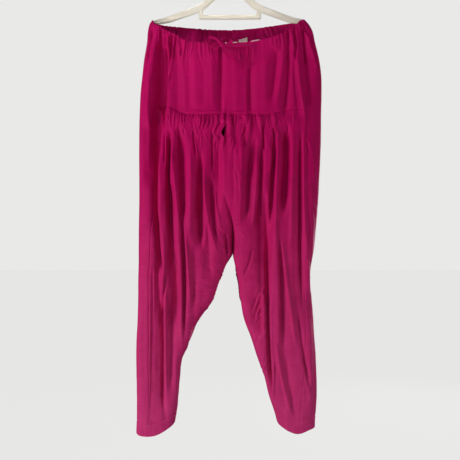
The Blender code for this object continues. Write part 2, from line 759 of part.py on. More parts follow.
def make_drawstring():
    bm = bmesh.new()
    bmesh.ops.create_uvsphere(bm, u_segments=12, v_segments=8, radius=0.5)
    for vert in bm.verts:
        vert.co = Vector([half * size for half, size in zip(vert.co, KNOT_SIZE)])
        vert.co = (vert.co + Vector((KNOT[0], KNOT[1], -KNOT[2]))) * MM
    add_object("drawstring_knot", bm, CORD_CLOTH, CLOTH_ROUGHNESS)
    cord("drawstring_loop", LOOP_ROUTE, 14)
    cord("drawstring_right_end", RIGHT_ROUTE, 12)
    cord("drawstring_left_end", LEFT_ROUTE, 9)


for old in list(bpy.data.objects):
    bpy.data.objects.remove(old, do_unlink=True)
make_cloth()
make_trim()
make_hanger()
make_drawstring()
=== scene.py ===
"""The looks of a pair of harem pants, a salwar of thin magenta cloth, hung by the waist on a hanger.

The cloth is drawn on the same draped surface as the part's solids. A place on it is given by `around`
(0 is the front slit's right edge, 0.5 the side at +X, 1 the centre back, 1.5 the side at -X and 2 the
slit's left edge) and by `drop`, the distance below the hook. Sizes are in millimetres, and the meshes
in metres.
"""

import math

import bmesh
import bpy
import numpy as np
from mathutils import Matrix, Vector


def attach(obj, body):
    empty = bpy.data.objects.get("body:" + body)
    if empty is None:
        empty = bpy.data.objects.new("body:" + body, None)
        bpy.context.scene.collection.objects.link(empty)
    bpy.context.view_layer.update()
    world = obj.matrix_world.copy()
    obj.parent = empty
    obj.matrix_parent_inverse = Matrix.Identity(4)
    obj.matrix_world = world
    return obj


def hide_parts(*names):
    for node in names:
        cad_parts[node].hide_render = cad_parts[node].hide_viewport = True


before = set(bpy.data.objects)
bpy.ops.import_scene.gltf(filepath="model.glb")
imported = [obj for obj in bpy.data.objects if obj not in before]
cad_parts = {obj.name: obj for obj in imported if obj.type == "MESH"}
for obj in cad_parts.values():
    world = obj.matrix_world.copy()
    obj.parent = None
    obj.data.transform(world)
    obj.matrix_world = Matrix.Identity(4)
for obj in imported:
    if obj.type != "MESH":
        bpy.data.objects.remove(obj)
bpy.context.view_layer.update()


# The studio: a pale backdrop and floor, one strong soft light from the low left, and weaker ones from
# the high left, the right, the front, above the waist and behind. The camera is level with the middle
# of the pants, as far off as the photograph's.

MM = 0.001
EYE = (2.45, -1800.0, -698.0)
VIEW_WIDTH = 1127.0  # what the camera takes in at the object's own distance
SENSOR = 36.0
BACKDROP = "#e9e9e8"
BACKDROP_LIGHTS = 0.15  # it lights the cloth less than it shows behind it
FLOOR_DROP = 1450.0
FLOOR_HALF = 12000.0
FLOOR_GLOW = 0.965  # so that the floor meets the backdrop unseen
LIGHTS = (
    # name, place in metres, what it faces, size in metres, the angle it spreads over, watts
    ("low_left", (-2.2, -1.4, -1.25), (0.0, 0.0, -0.95), 0.9, 180.0, 61.0),
    ("high_left", (-1.9, -1.2, 0.75), (0.0, 0.0, -0.3), 0.7, 180.0, 9.0),
    ("right", (2.4, -0.8, -1.1), (0.1, 0.0, -1.0), 0.9, 180.0, 17.0),
    ("front", (0.25, -1.9, -1.3), (0.1, 0.0, -0.9), 0.9, 180.0, 8.0),
    ("waist", (0.1, -1.1, 0.8), (-0.05, 0.05, -0.18), 0.3, 18.0, 0.15),
    ("behind", (1.3, 2.0, -0.5), (0.0, 0.0, -0.8), 0.9, 120.0, 18.0),
)


def linear(hex_colour):
    """A colour written as sRGB hex, as the linear RGBA that Blender takes."""
    parts = [int(hex_colour[i : i + 2], 16) / 255 for i in (1, 3, 5)]
    return [p / 12.92 if p <= 0.04045 else ((p + 0.055) / 1.055) ** 2.4 for p in parts] + [1.0]


def add_node(tree, kind, inputs=(), **settings):
    """Adds a node with its settings, and gives each input named a value or a link from a socket."""
    made = tree.nodes.new(kind)
    for name, value in settings.items():
        setattr(made, name, value)
    for name, value in dict(inputs).items():
        if isinstance(value, bpy.types.NodeSocket):
            tree.links.new(value, made.inputs[name])
        else:
            made.inputs[name].default_value = value
    return made


def new_material(name):
    """A new material, its node tree and its Principled shader."""
    made = bpy.data.materials.new(name)
    made.use_nodes = True
    return made, made.node_tree, made.node_tree.nodes["Principled BSDF"]


def show(obj):
    bpy.context.scene.collection.objects.link(obj)
    return obj


def mesh_of(bm, name, material):
    """A smooth mesh of one material from a bmesh, which is freed."""
    made = bpy.data.meshes.new(name)
    bm.to_mesh(made)
    bm.free()
    made.shade_smooth()
    made.materials.append(material)
    return made


camera = show(bpy.data.objects.new("camera", bpy.data.cameras.new("camera")))
camera.location = [c * MM for c in EYE]
camera.rotation_euler = (math.pi / 2, 0.0, 0.0)
camera.data.sensor_width = SENSOR
camera.data.lens = SENSOR * -EYE[1] / VIEW_WIDTH
bpy.context.scene.camera = camera
bpy.context.scene.view_settings.view_transform = "Standard"

world = bpy.data.worlds.new("pale_backdrop")
world.use_nodes = True
seen = add_node(world.node_tree, "ShaderNodeLightPath").outputs["Is Camera Ray"]
strengths = {"Value": seen, "To Min": BACKDROP_LIGHTS, "To Max": 1.0}
pale = add_node(world.node_tree, "ShaderNodeMapRange", strengths)
background = world.node_tree.nodes["Background"]
background.inputs["Color"].default_value = linear(BACKDROP)
world.node_tree.links.new(pale.outputs["Result"], background.inputs["Strength"])
bpy.context.scene.world = world

for name, spot, target, size, spread, watts in LIGHTS:
    lamp = show(bpy.data.objects.new(name, bpy.data.lights.new(name, "AREA")))
    lamp.data.size = size
    lamp.data.spread = math.radians(spread)
    lamp.data.energy = watts
    lamp.location = spot
    lamp.rotation_euler = (Vector(target) - Vector(spot)).to_track_quat("-Z", "Y").to_euler()

# Matt paint, rolled on: it has no shine, and only its own even glow shows.
matt_paint, tree, shader = new_material("matt_floor_paint")
shader.inputs["Base Color"].default_value = linear("#3a3a39")
shader.inputs["Roughness"].default_value = 1.0
shader.inputs["Specular IOR Level"].default_value = 0.0
shader.inputs["Emission Color"].default_value = linear(BACKDROP)
shader.inputs["Emission Strength"].default_value = FLOOR_GLOW

bm = bmesh.new()
bmesh.ops.create_grid(bm, x_segments=1, y_segments=1, size=FLOOR_HALF * MM)
bmesh.ops.translate(bm, verts=bm.verts, vec=(0.0, 0.0, -FLOOR_DROP * MM))
floor = show(bpy.data.objects.new("floor", mesh_of(bm, "floor", matt_paint)))
floor.visible_diffuse = False  # it shows, but throws no light up on to the cloth
floor.visible_glossy = False


# The legs: two front and two back panels of plain-woven cotton silk, gathered into the yoke's foot by
# small pleats and sewn to the side panels. They fall in long soft folds, as two tubes below the crotch.

CASING_DEPTH = 20.0
YOKE_SEAM = 420.0
CROTCH = 757.0
HEM_DEPTH = 28.0

# The outline's edges, the centre line, how far the front and back stand off, and the legs' inner edges.
SECTIONS = (
    ("drop", "left", "right", "centre", "front", "back", "left_inner", "right_inner"),
    (184, -186.5, 184.5, -17, 37, 33, -17, -17),
    (196, -194.5, 195.5, -17, 39, 34, -17, -17),
    (208, -197.5, 202.5, -17, 40, 35, -17, -17),
    (240, -200.5, 210.5, -17, 41, 36, -17, -17),
    (282, -207.5, 220.5, -16, 42, 38, -16, -16),
    (318, -211.5, 225.5, -13, 44, 39, -13, -13),
    (367, -216.5, 226.5, -8, 46, 41, -8, -8),
    (412, -218.5, 225.5, -5, 48, 42, -5, -5),
    (502, -219.5, 224.5, -14, 54, 45, -14, -14),
    (564, -219.5, 221.5, -14, 55, 46, -14, -14),
    (625, -219.5, 218.5, -5, 54, 45, -5, -5),
    (686, -220.5, 213.5, 8, 50, 43, 8, 8),
    (757, -220.5, 205.5, 9, 46, 41, 9, 9),
    (784, -220.5, 199.5, 9, 44, 40, -7.5, 14.5),
    (820, -221.5, 197.5, 9, 43, 39, -24.5, 22.5),
    (870, -221.5, 202.5, 9, 42, 38, -43.5, 28.5),
    (911, -222.5, 205.5, 9, 41, 38, -71.5, 35.5),
    (963, -225.5, 208.5, 9, 40, 37, -93.5, 54.5),
    (1007, -226.5, 211.5, 9, 39, 36, -115.5, 68.5),
    (1053, -225.5, 213.5, 9, 38, 35, -121.5, 85.5),
    (1102, -224.5, 213.5, 9, 37, 34, -126.5, 97.5),
    (1144, -224.5, 210.5, 9, 36, 34, -129.5, 111.5),
    (1203, -226.5, 207.5, 9, 36, 34, -133.5, 125.5),
)
EVENNESS = 0.6  # the places around a section are even by angle at 0, and even across at 1
BODY_FLATNESS = 0.7  # the power that flattens a section's round, which 1 leaves an ellipse
LEG_FLATNESS = 0.5
CLOSING_STARTS = 600.0
INSEAM_FLATTENS = 63.0  # from there, the lift beside the inseam dies out over this much

# The drop of the waist's edge, by the share of the way from the centre line out to the side.
WAIST = (
    ("across", "front_left", "front_right", "back_left", "back_right"),
    (0.00, 252, 251, 199, 199),
    (0.20, 250, 248.5, 198, 198.5),
    (0.32, 248, 246, 196.5, 196.5),
    (0.44, 245, 240, 195.3, 194.5),
    (0.54, 237.5, 233.5, 194, 191.8),
    (0.63, 227, 225.5, 193, 190),
    (0.74, 216, 212.5, 192, 187.5),
    (0.82, 209, 203, 191, 186),
    (0.90, 200, 191.5, 189, 185),
    (0.96, 192, 187, 186.5, 184.5),
    (1.00, 184, 184, 184, 184),
)

# Where the side panel's seams lie, as a share of the way around each half.
SIDE_SEAMS = (
    ("drop", "left", "right"),
    (184, 0.430, 0.405),
    (412, 0.386, 0.372),
    (600, 0.378, 0.400),
    (757, 0.380, 0.399),
    (870, 0.371, 0.391),
    (1017, 0.318, 0.341),
    (1115, 0.308, 0.293),
    (1203, 0.306, 0.262),
)

# The lower edge of each cuff, by the share of the way around the leg from its inner edge.
HEMS = (
    ("share", "left", "right"),
    (0.00, 1158, 1161),
    (0.12, 1175, 1176),
    (0.25, 1193, 1188),
    (0.35, 1195, 1181),
    (0.50, 1188, 1174),
    (0.75, 1177, 1169),
    (1.00, 1158, 1161),
)

# The folds of the front as the camera sees them: where each starts and ends, its path across, how wide
# it is to its left and to its right, and its height, negative for a trough.
FOLDS = (
    # yoke, left half
    (195, 300, -186, -195, -204, 3.5, 3, -9),
    (210, 480, -178, -191, -200, 8, 4, 7),
    (198, 262, -164, -168, -174, 5, 3, -9),
    (215, 560, -172, -178, -187, 8, 14, -34),
    (215, 480, -158, -156, -165, 14, 3.5, -28),
    (215, 330, -163, -166, -170, 3, 3, -6),
    (340, 500, -160, -165, -175, 18, 3.5, -12),
    (205, 275, -150, -156, -158, 2.5, 2.5, 4.5),
    (203, 310, -150, -156, -158, 3, 3, -9),
    (205, 322, -142, -154, -153, 2.5, 2.5, 5),
    (206, 330, -138, -144, -151, 3, 3, -9),
    (212, 400, -130, -146, -159, 3, 3, 6),
    (212, 290, -124, -133, -134, 3, 2, -7),
    (250, 440, -131, -127, -126, 18, 40, -11),
    (206, 330, -160, -158, -156, 3, 3, -4),
    (204, 300, -147, -144, -140, 2.5, 3, -3.5),
    (204, 290, -134, -131, -127, 2.5, 3, -3),
    (206, 275, -121, -118, -116, 2.5, 3, -3),
    (270, 560, -193, -197, -203, 9, 20, 6),
    (215, 265, -121, -129, -132, 2.5, 2.5, 3.5),
    (250, 425, -118, -111, -109, 6, 9, 2),
    (255, 415, -99, -98, -98, 8, 8, -2.5),
    (250, 420, -84, -84, -84, 9, 7, 2),
    (250, 405, -63, -62, -62, 9, 7, -3),
    (255, 405, -43, -41, -40, 5, 5, 2.5),
    (245, 430, -18, -19, -18, 14, 6, -12),
    # yoke, right half
    (250, 425, 14, 14, 18, 8, 8, 1.5),
    (262, 428, 47, 43, 48, 4, 2, 3),
    (300, 424, 41, 44, 48, 1.4, 1.4, -2.5),
    (248, 432, 56, 52, 56, 12, 8, -9),
    (255, 420, 88, 88, 90, 12, 9, 2.5),
    (232, 380, 98, 93, 82, 9, 7, 1),
    (238, 392, 122, 114, 103, 12, 8, -9),
    (230, 405, 138, 128, 112, 6, 6, 3),
    (238, 432, 147, 145, 136, 10, 7, -10),
    (210, 265, 152, 157, 162, 2, 2.5, 4),
    (238, 440, 164, 174, 188, 4, 4, 6),
    (270, 440, 158, 163, 172, 3, 4, -3),
    (225, 400, 188, 194, 200, 18, 8, -8),
    (192, 290, 146, 146, 141, 6, 4, -7),
    (190, 290, 160, 163, 167, 4, 2.5, -8),
    (188, 300, 183, 187, 193, 8, 3, -9),
    (185, 310, 181, 205, 221, 3, 2.5, -6),
    (205, 330, 186, 206, 218, 3, 3, 4),
    # hips, left half
    (400, 600, -174, -180, -181, 26, 4, -33),
    (470, 715, -178, -181, -177, 9, 3.5, -24),
    (650, 815, -178, -173, -165, 7, 3.5, -19),
    (430, 700, -167, -168, -165, 6, 7, 3),
    (425, 545, -160, -159, -157, 2, 2, -4),
    (435, 700, -153, -155, -156, 2.5, 2.5, 3),
    (440, 740, -143, -150, -143, 4, 3.5, -23),
    (560, 800, -146, -142, -138, 9, 7, -20),
    (735, 940, -136, -128, -132, 22, 6, -21),
    (870, 1115, -138, -139, -144, 11, 9, -10),
    (435, 560, -136, -136, -138, 7, 6, 4),
    (480, 700, -142, -131, -121, 4, 5, 7),
    (440, 520, -123, -123, -121, 2.5, 3, -5),
    (440, 700, -118, -114, -115, 9, 7, -18),
    (470, 740, -93, -94, -98, 6, 9, 5),
    (470, 665, -28, -26, -28, 30, 7, -13),
    (450, 520, -88, -85, -80, 2, 2.5, -6),
    (465, 520, -85, -81, -77, 2, 2, 4),
    (495, 745, -70, -68, -68, 8, 4.5, -20),
    (585, 755, -72, -69, -68, 17, 6, -9),
    (530, 765, -60, -55, -24, 5, 4, 6.5),
    (440, 560, -41, -41, -40, 3, 3, -5),
    (560, 735, -44, -40, -30, 8, 8, -11),
    (590, 690, -36, -31, -22, 4, 4, 3.5),
    (600, 700, -14, -4, 4, 3, 3.5, -7),
    (700, 775, -9, -5, -3, 3, 3, -7),
    (665, 825, -52, -49, -46, 20, 8, -8),
    (600, 700, -12, -6, 3, 2.5, 2.5, 4),
    (480, 620, -20, -21, -16, 3, 3, -4),
    # hips, right half
    (480, 640, 10, 11, 13, 3, 3, -1.5),
    (455, 700, 33, 31, 27, 34, 4, 10),
    (450, 695, 58, 49, 39, 8, 8, -10),
    (465, 575, 67, 60, 52, 3, 4, -5),
    (505, 705, 69, 67, 55, 6, 5, 6),
    (462, 700, 85, 77, 74, 7, 6, -11),
    (590, 810, 87, 92, 94, 34, 4, -13),
    (630, 890, 92, 95, 96, 36, 5, -20),
    (490, 565, 104, 103, 98, 5, 4, 4.5),
    (440, 800, 115, 106, 97, 6, 5, -17),
    (640, 1140, 98, 96, 106, 5, 3, -16),
    (850, 960, 77, 77, 80, 28, 5, -15),
    (850, 960, 85, 85, 86, 5, 4, 5),
    (440, 720, 120, 116, 111, 3, 6, 7),
    (425, 665, 143, 146, 134, 16, 5, -22),
    (440, 760, 152, 153, 152, 5, 10, 5),
    (425, 905, 178, 175, 180, 5, 5, -12),
    (430, 760, 184, 182, 189, 4, 4, 6),
    (430, 900, 205, 203, 196, 14, 8, 4),
    (425, 512, 80, 84, 89, 2.5, 3, -8),
    (425, 500, 41, 39, 33, 4, 4, -5),
    (445, 480, 109, 110, 112, 2, 2, -6),
    # left leg
    (780, 930, -188, -189, -191, 2, 2, -3),
    (870, 1190, -189, -191, -195, 2.5, 14, -3),
    (765, 915, -176, -173, -170, 12, 6, -10),
    (1080, 1168, -162, -158, -156, 9, 5, -3),
    (690, 900, -163, -160, -176, 4, 4, 4),
    (800, 935, -156, -161, -172, 3, 4, -6),
    (800, 1125, -155, -156, -153, 2.5, 3, 5.5),
    (870, 1135, -166, -161, -161, 4, 2, -6),
    (700, 1000, -124, -117, -118, 5, 3, 5),
    (640, 965, -119, -110, -113, 3.5, 4, -16),
    (770, 940, -6, -26, -76, 40, 6, 9),
    (900, 1195, -80, -121, -130, 28, 4, 7),
    (690, 900, -110, -100, -94, 3, 4, 5),
    (720, 905, -86, -86, -86, 8, 9, -6),
    (825, 1160, -167, -161, -160, 26, 4, -15),
    (990, 1130, -131, -133, -137, 5, 4, 3),
    # right leg
    (640, 770, 10, 10, 11, 3, 4, -3),
    (650, 1000, 113, 119, 122, 14, 4, 7),
    (960, 1165, 114, 131, 158, 4, 4, 6),
    (690, 1000, 125, 144, 166, 4, 6, 7),
    (700, 1045, 126, 131, 134, 6, 9, -7),
    (1000, 1175, 138, 150, 166, 9, 8, -4),
    (690, 880, 186, 190, 193, 9, 4, 7),
    (890, 1100, 166, 180, 196, 5, 5, -7),
    (1020, 1125, 178, 189, 199, 3.5, 3, 4),
    (865, 1190, 191, 196, 198, 40, 8, 10),
    (1010, 1115, 110, 110, 109, 2.5, 3, 4),
    (740, 820, 55, 47, 29, 2.5, 3, -4),
)
DEEPEST = 36.0  # where troughs add up, they level out at this depth
FOLD_ENDS = 0.25  # the share of its length over which a fold starts, and over which it ends
ROUND_SIDE = 1.7  # the power of a fold's narrow side, and how much less a broad one's is
SHARPENS = 0.35
SINKS_TO = 0.85  # a trough reaches at most this share of the way to the middle of the body

# Patches of small crumples: the middle and half size of each, how they lean from level in degrees, and
# how many there are, how long and how high.
CRUMPLES = (
    (-70, 862, 22, 44, 4, 18, 15, 1.5),
    (-30, 790, 16, 30, 42, 14, 12, 1.4),
    (-14, 730, 12, 45, 60, 12, 11, 1.2),
    (-98, 925, 14, 26, 20, 10, 10, 1.2),
    (36, 712, 16, 34, 30, 10, 13, 1.2),
    (74, 905, 15, 60, -58, 22, 13, 1.6),
    (84, 1000, 9, 40, -70, 12, 11, 1.2),
    (-24, 465, 18, 35, -72, 16, 12, 1.5),
    (22, 462, 22, 30, -68, 16, 12, 1.5),
    (-105, 450, 60, 28, 80, 26, 10, 1.2),
    (110, 450, 50, 28, 75, 24, 10, 1.2),
    (10, 700, 14, 60, 50, 12, 9, 1.1),
    (-45, 820, 20, 45, 25, 14, 9, 1.1),
    (-202, 720, 12, 40, 25, 8, 14, 0.9),
    (202, 560, 10, 110, 80, 16, 16, 1.0),
    (196, 985, 9, 30, 25, 6, 12, 0.9),
    (-10, 420, 60, 12, 5, 14, 14, 0.7),
    (30, 560, 18, 60, 75, 12, 14, 0.8),
)
CRUMPLE_HALF = 0.28  # a crumple's half width, as a share of its half length
CRUMPLE_TURNS = 16.0  # how many degrees one may lie off its patch's lean
CRUMPLE_LENGTHS = (0.6, 1.4)  # the least and the most, as shares of what the patch gives
CRUMPLE_HEIGHTS = (0.5, 1.3)
TROUGH = 1.8  # how much of a trough lies along each side of a crumple or a pleat

# The creases all over: how far apart and how long they are, how much they slant, and their height.
CREASES = (
    (11.0, 130.0, 0.0, 1.1),
    (5.5, 45.0, 0.0, 0.35),
    (9.0, 26.0, 0.45, 0.28),
    (11.0, 24.0, -0.6, 0.28),
)
YOKE_CREASED = 0.45  # how much of that height the yoke has, until this far above its seam
CREASED_ABOVE = 10.0
CREASED_RUN = 30.0
SIDE_CREASED = 0.3
BACK_SHARE = 0.8  # the back's folds are the front's turned round, and shallower
BACK_APART = 40.0  # the back's creases are read this far from the front's
PLAIN_SIDE = 0.07  # the folds fade this near the side, and this near the inseam
PLAIN_INSEAM = 0.05

# The slit at the centre front: its left edge goes under the right one, and below the yoke it gapes.
LAP_SHARE = 0.024
LAP_SINK = 5.0
LAP_FADE = 50.0
SLIT_FOOT = 478.0
SLIT_GAPES = (440.0, 480.0)
GAPE_OPENS = 26.0  # it opens over this much, and closes over this much
GAPE_CLOSES = 14.0
GAPE = (0.016, 0.002)  # left and right, as shares of the way around

# The front yoke's foot rises towards the side seams: how much, from where, over how far, and how near
# the side it comes level again.
FOOT_RISES = (24.0, 13.0)  # left and right
FOOT_STARTS = 0.17
FOOT_RUN = 0.14
FOOT_LEVEL = 0.08

# The pleats where the fullness is sewn into the yoke, in each quarter.
BROAD_GATHERS = (8, 3.2, (50.0, 190.0))  # how many, how high, and how far they run, from and to
FINE_GATHERS = (30, 2.6, (10.0, 90.0))
GATHERS_END = 0.06  # they die out this near the side seam
RIGHT_LOST = (0.265, 0.05)  # the right front's are lost by this place, over this much before it
PINCHED = 0.45  # how much of its height a pleat has at the seam, and where it has it all
PINCH_ENDS = 8.0
PUFF = 3.0  # how far the cloth swells under the seam, where it has swollen, and where it lies flat
PUFF_FULL = 12.0
PUFF_ENDS = 70.0

# How uneven the pleats are, in shares of one pleat's room: how far one strays and leans, and its width.
PLEAT_STRAYS = 0.42
PLEAT_LEANS = 1.4
PLEAT_WIDTHS = (0.14, 0.42)
PLEAT_HEIGHTS = (0.1, 1.0)
PLEAT_UNEVEN = 1.6  # the higher it is, the fewer pleats are tall, and the taller they are

# The short pleats where the drawstring draws the casing in, in each quarter.
FRONT_PUCKERS = (24, 2.0, (18.0, 75.0))
BACK_PUCKERS = (14, 3.4, (25.0, 70.0))
PLAIN_TIP = 0.05

# The relief beside a seam: its height, how far below the seam it lies, and its half width. The side
# seam's half width is a share of the way around.
TURNED_EDGE = (0.9, -4.5, 3.4)
STEP = (-2.0, 0.8, 1.4)
HEM_STITCH = (-1.0, -HEM_DEPTH, 1.2)
SIDE_GROOVE = (-1.1, 0.0, 0.0028)
GROOVE_STARTS = 205.0  # the drop where the groove starts, and how much takes it to its full depth
GROOVE_RUN = 20.0
EDGE_STOPS = 0.01  # the turned edge stops this near the side seam
EDGE_VARIES = 0.8  # how much its height comes and goes, and how many times in half a turn
VARY_TIMES = 34.0
FOOT_WANDERS = 1.8  # how far the yoke's foot wanders up and down, and how many times
WANDER_TIMES = 26.0


def read_table(table, wanted, places):
    """A column's values at the places given, along a smooth curve through the rows."""
    names, *rows = table
    known = np.array([row[0] for row in rows], float)
    values = np.array([row[names.index(wanted)] for row in rows], float)
    slopes = np.gradient(values, known)
    places = np.clip(places, known[0], known[-1])
    row = np.clip(np.searchsorted(known, places) - 1, 0, len(known) - 2)
    step = known[row + 1] - known[row]
    u = (places - known[row]) / step
    start = values[row] * (1 + 2 * u) * (1 - u) ** 2 + slopes[row] * step * u * (1 - u) ** 2
    end = values[row + 1] * (3 - 2 * u) * u**2 - slopes[row + 1] * step * (1 - u) * u**2
    return start + end


def by_side(table, side, places, left="left", right="right"):
    """The left column's values on the left half, and the right one's on the right half."""
    return np.where(side < 0, read_table(table, left, places), read_table(table, right, places))


def ramp(x):
    """0 below 0, 1 above 1, and a soft step between."""
    x = np.clip(x, 0.0, 1.0)
    return x * x * (3.0 - 2.0 * x)


def flattened(x, power):
    """A sine or cosine that stays near its ends for longer, the lower the power is."""
    return np.sign(x) * np.abs(x) ** power


def relief(off, height, at, half_width):
    """A soft ridge beside a line, or a groove where its height is below 0."""
    return height * np.exp(-(((off - at) / half_width) ** 2))


def ridge(off, ends=0.0):
    """A ridge between two slight troughs. off and ends are squares, in half widths and half lengths."""
    return (1.0 - TROUGH * off) * np.exp(-off - ends)


def rumple(across, along, seed):
    """Soft bumps between -1 and 1, one unit apart each way, the same on each run."""
    count = 97
    heights = np.random.default_rng(seed).uniform(-1.0, 1.0, (count, count))
    column = np.floor(across).astype(int)
    row = np.floor(along).astype(int)
    u = ramp(across - column)
    v = ramp(along - row)
    left = column % count
    right = (column + 1) % count
    upper = heights[row % count, left] * (1 - u) + heights[row % count, right] * u
    lower = heights[(row + 1) % count, left] * (1 - u) + heights[(row + 1) % count, right] * u
    return upper * (1 - v) + lower * v


def side_and_share(around):
    """Which half a place is on (-1 left, 1 right), and its share of the way from front to back."""
    side = np.where(around <= 1.0, 1.0, -1.0)
    return side, np.where(around <= 1.0, around, 2.0 - around)


def off_centre(share):
    """How far a place is from the centre line, of the front or of the back."""
    return np.where(share < 0.5, share, 1.0 - share)


def turn_of(share):
    """The angle round a flattened section: 0 at its centre line and a quarter turn at its side."""
    way = 1.0 - np.abs(1.0 - 2.0 * share)
    return (1.0 - EVENNESS) * math.pi / 2 * way + EVENNESS * np.arcsin(np.clip(way, -1.0, 1.0))


def section(side, share, drop):
    """X and Y of the plain section: half of the body above, one whole leg below."""
    outer = by_side(SECTIONS, side, drop)
    centre = read_table(SECTIONS, "centre", drop)
    leg_inner = by_side(SECTIONS, side, drop, "left_inner", "right_inner")
    inner = np.where(drop < CROTCH, centre, leg_inner)
    front = read_table(SECTIONS, "front", drop)
    back = read_table(SECTIONS, "back", drop)
    depth = np.where(share < 0.5, -front, back)
    turn = turn_of(share)
    body_x = centre + (outer - centre) * np.sin(turn)
    body_y = depth * np.abs(np.cos(turn)) ** BODY_FLATNESS
    leg_x = (inner + outer) / 2 + (inner - outer) / 2 * np.cos(2 * math.pi * share)
    leg_y = -np.abs(depth) * flattened(np.sin(2 * math.pi * share), LEG_FLATNESS)
    closed = ramp((drop - CLOSING_STARTS) / (CROTCH - CLOSING_STARTS))
    return body_x + (leg_x - body_x) * closed, body_y + (leg_y - body_y) * closed


def facing(side, share, drop):
    """The unit vector straight out of the section."""
    step = 1e-4
    x_before, y_before = section(side, share - step, drop)
    x_after, y_after = section(side, share + step, drop)
    along_x = x_after - x_before
    along_y = y_after - y_before
    length = np.hypot(along_x, along_y)
    return side * along_y / length, -side * along_x / length


def seen_from_front(x, y, drop, share):
    """Where the camera sees a point, in the plane of the hanger. The back is the front turned round."""
    nearer = 1.0 + np.abs(y) / -EYE[1]
    return np.where(share > 0.5, -x, x) * nearer, -EYE[2] + (drop + EYE[2]) * nearer


def folds(seen_x, seen_drop, share):
    """How far the folds in the table lift the cloth."""
    total = np.zeros_like(share)
    for top, bottom, x_top, x_middle, x_bottom, left_width, right_width, height in FOLDS:
        way = np.clip((seen_drop - top) / (bottom - top), 0.0, 1.0)
        handle = 2.0 * x_middle - (x_top + x_bottom) / 2.0
        off = seen_x - x_top * (1 - way) ** 2 - 2.0 * handle * way * (1 - way) - x_bottom * way**2
        run = FOLD_ENDS * (bottom - top)
        fade = ramp((seen_drop - top) / run) * ramp((bottom - seen_drop) / run)
        width = np.where(off < 0, left_width, right_width)
        # A side of 5 mm or less is round, and one of 15 or more runs straight down into a sharp crease.
        power = ROUND_SIDE - SHARPENS * np.clip((width - 5.0) / 10.0, 0.0, 1.0)
        total += height * fade * np.exp(-np.abs(off / width) ** power)
    total = np.where(total < 0, DEEPEST * np.tanh(total / DEEPEST), total)
    total = total * np.where(share > 0.5, BACK_SHARE, 1.0)
    return total * ramp(np.abs(share - 0.5) / PLAIN_SIDE)


def creases(seen_x, seen_drop, drop, share):
    """Small uneven creases: long ones that fall with the cloth, and short crumpled ones over them."""
    apart = np.where(share > 0.5, BACK_APART, 0.0)
    lift = np.zeros_like(share)
    for seed, (spacing, length, slant, height) in enumerate(CREASES, 1):
        across = (seen_x + slant * seen_drop) / spacing
        lift += height * rumple(across + apart, (seen_drop - slant * seen_x) / length, seed)
    lift *= YOKE_CREASED + (1.0 - YOKE_CREASED) * ramp((drop - YOKE_SEAM + CREASED_ABOVE) / CREASED_RUN)
    chance = np.random.default_rng(5)
    for middle_x, middle_drop, half_x, half_drop, lean, count, length, height in CRUMPLES:
        for _ in range(count):
            at_x = middle_x + chance.uniform(-half_x, half_x)
            at_drop = middle_drop + chance.uniform(-half_drop, half_drop)
            turn = math.radians(lean + chance.uniform(-CRUMPLE_TURNS, CRUMPLE_TURNS))
            long = length * chance.uniform(*CRUMPLE_LENGTHS)
            tall = height * chance.uniform(*CRUMPLE_HEIGHTS)
            along = (seen_x - at_x) * math.cos(turn) + (seen_drop - at_drop) * math.sin(turn)
            off = (seen_drop - at_drop) * math.cos(turn) - (seen_x - at_x) * math.sin(turn)
            lift += tall * ridge((off / (CRUMPLE_HALF * long)) ** 2, (along / long) ** 2)
    return lift * ramp(np.abs(share - 0.5) / PLAIN_SIDE + SIDE_CREASED)


def inner_start(side, drop):
    """Where the front starts beside the centre line: the slit gapes below the yoke."""
    opened = np.where(side < 0, *GAPE) * ramp((drop - SLIT_GAPES[0]) / GAPE_OPENS)
    return opened * ramp((SLIT_GAPES[1] - drop) / GAPE_CLOSES)


def pleats(way, below, count, height, runs, seed):
    """Uneven pleats that start at a seam and fade as they fall. way is 0 to 1 along the seam."""
    chance = np.random.default_rng(seed)
    total = np.zeros_like(way)
    for i in range(-1, count + 1):
        middle = (i + 0.5 + chance.uniform(-PLEAT_STRAYS, PLEAT_STRAYS)) / count
        run = chance.uniform(*runs)
        lean = chance.uniform(-PLEAT_LEANS, PLEAT_LEANS) / count
        width = chance.uniform(*PLEAT_WIDTHS) / count
        tall = height * PLEAT_UNEVEN * chance.uniform(*PLEAT_HEIGHTS) ** PLEAT_UNEVEN
        fallen = np.clip(below / run, 0.0, 1.0)
        off = (way - middle - lean * fallen) / (width * (1.0 + fallen))
        total += tall * (1.0 - ramp(fallen)) * ridge(off**2)
    return total


def pleats_all_round(side, share, way, below, front, back, seed):
    """The pleats of each quarter: how many, how high and how far they run, in front and behind."""
    total = np.zeros_like(share)
    for is_left in (False, True):
        for is_back in (False, True):
            here = ((side < 0) == is_left) & ((share > 0.5) == is_back)
            size = back if is_back else front
            total = np.where(here, pleats(way, below, *size, seed + 2 * is_left + is_back), total)
    return total


def yoke_foot(side, share):
    """The drop of the yoke's lower edge, which rises in front towards the side seams."""
    rise = np.where(side < 0, *FOOT_RISES) * ramp((share - FOOT_STARTS) / FOOT_RUN)
    return YOKE_SEAM - rise * ramp((0.5 - share) / FOOT_LEVEL)


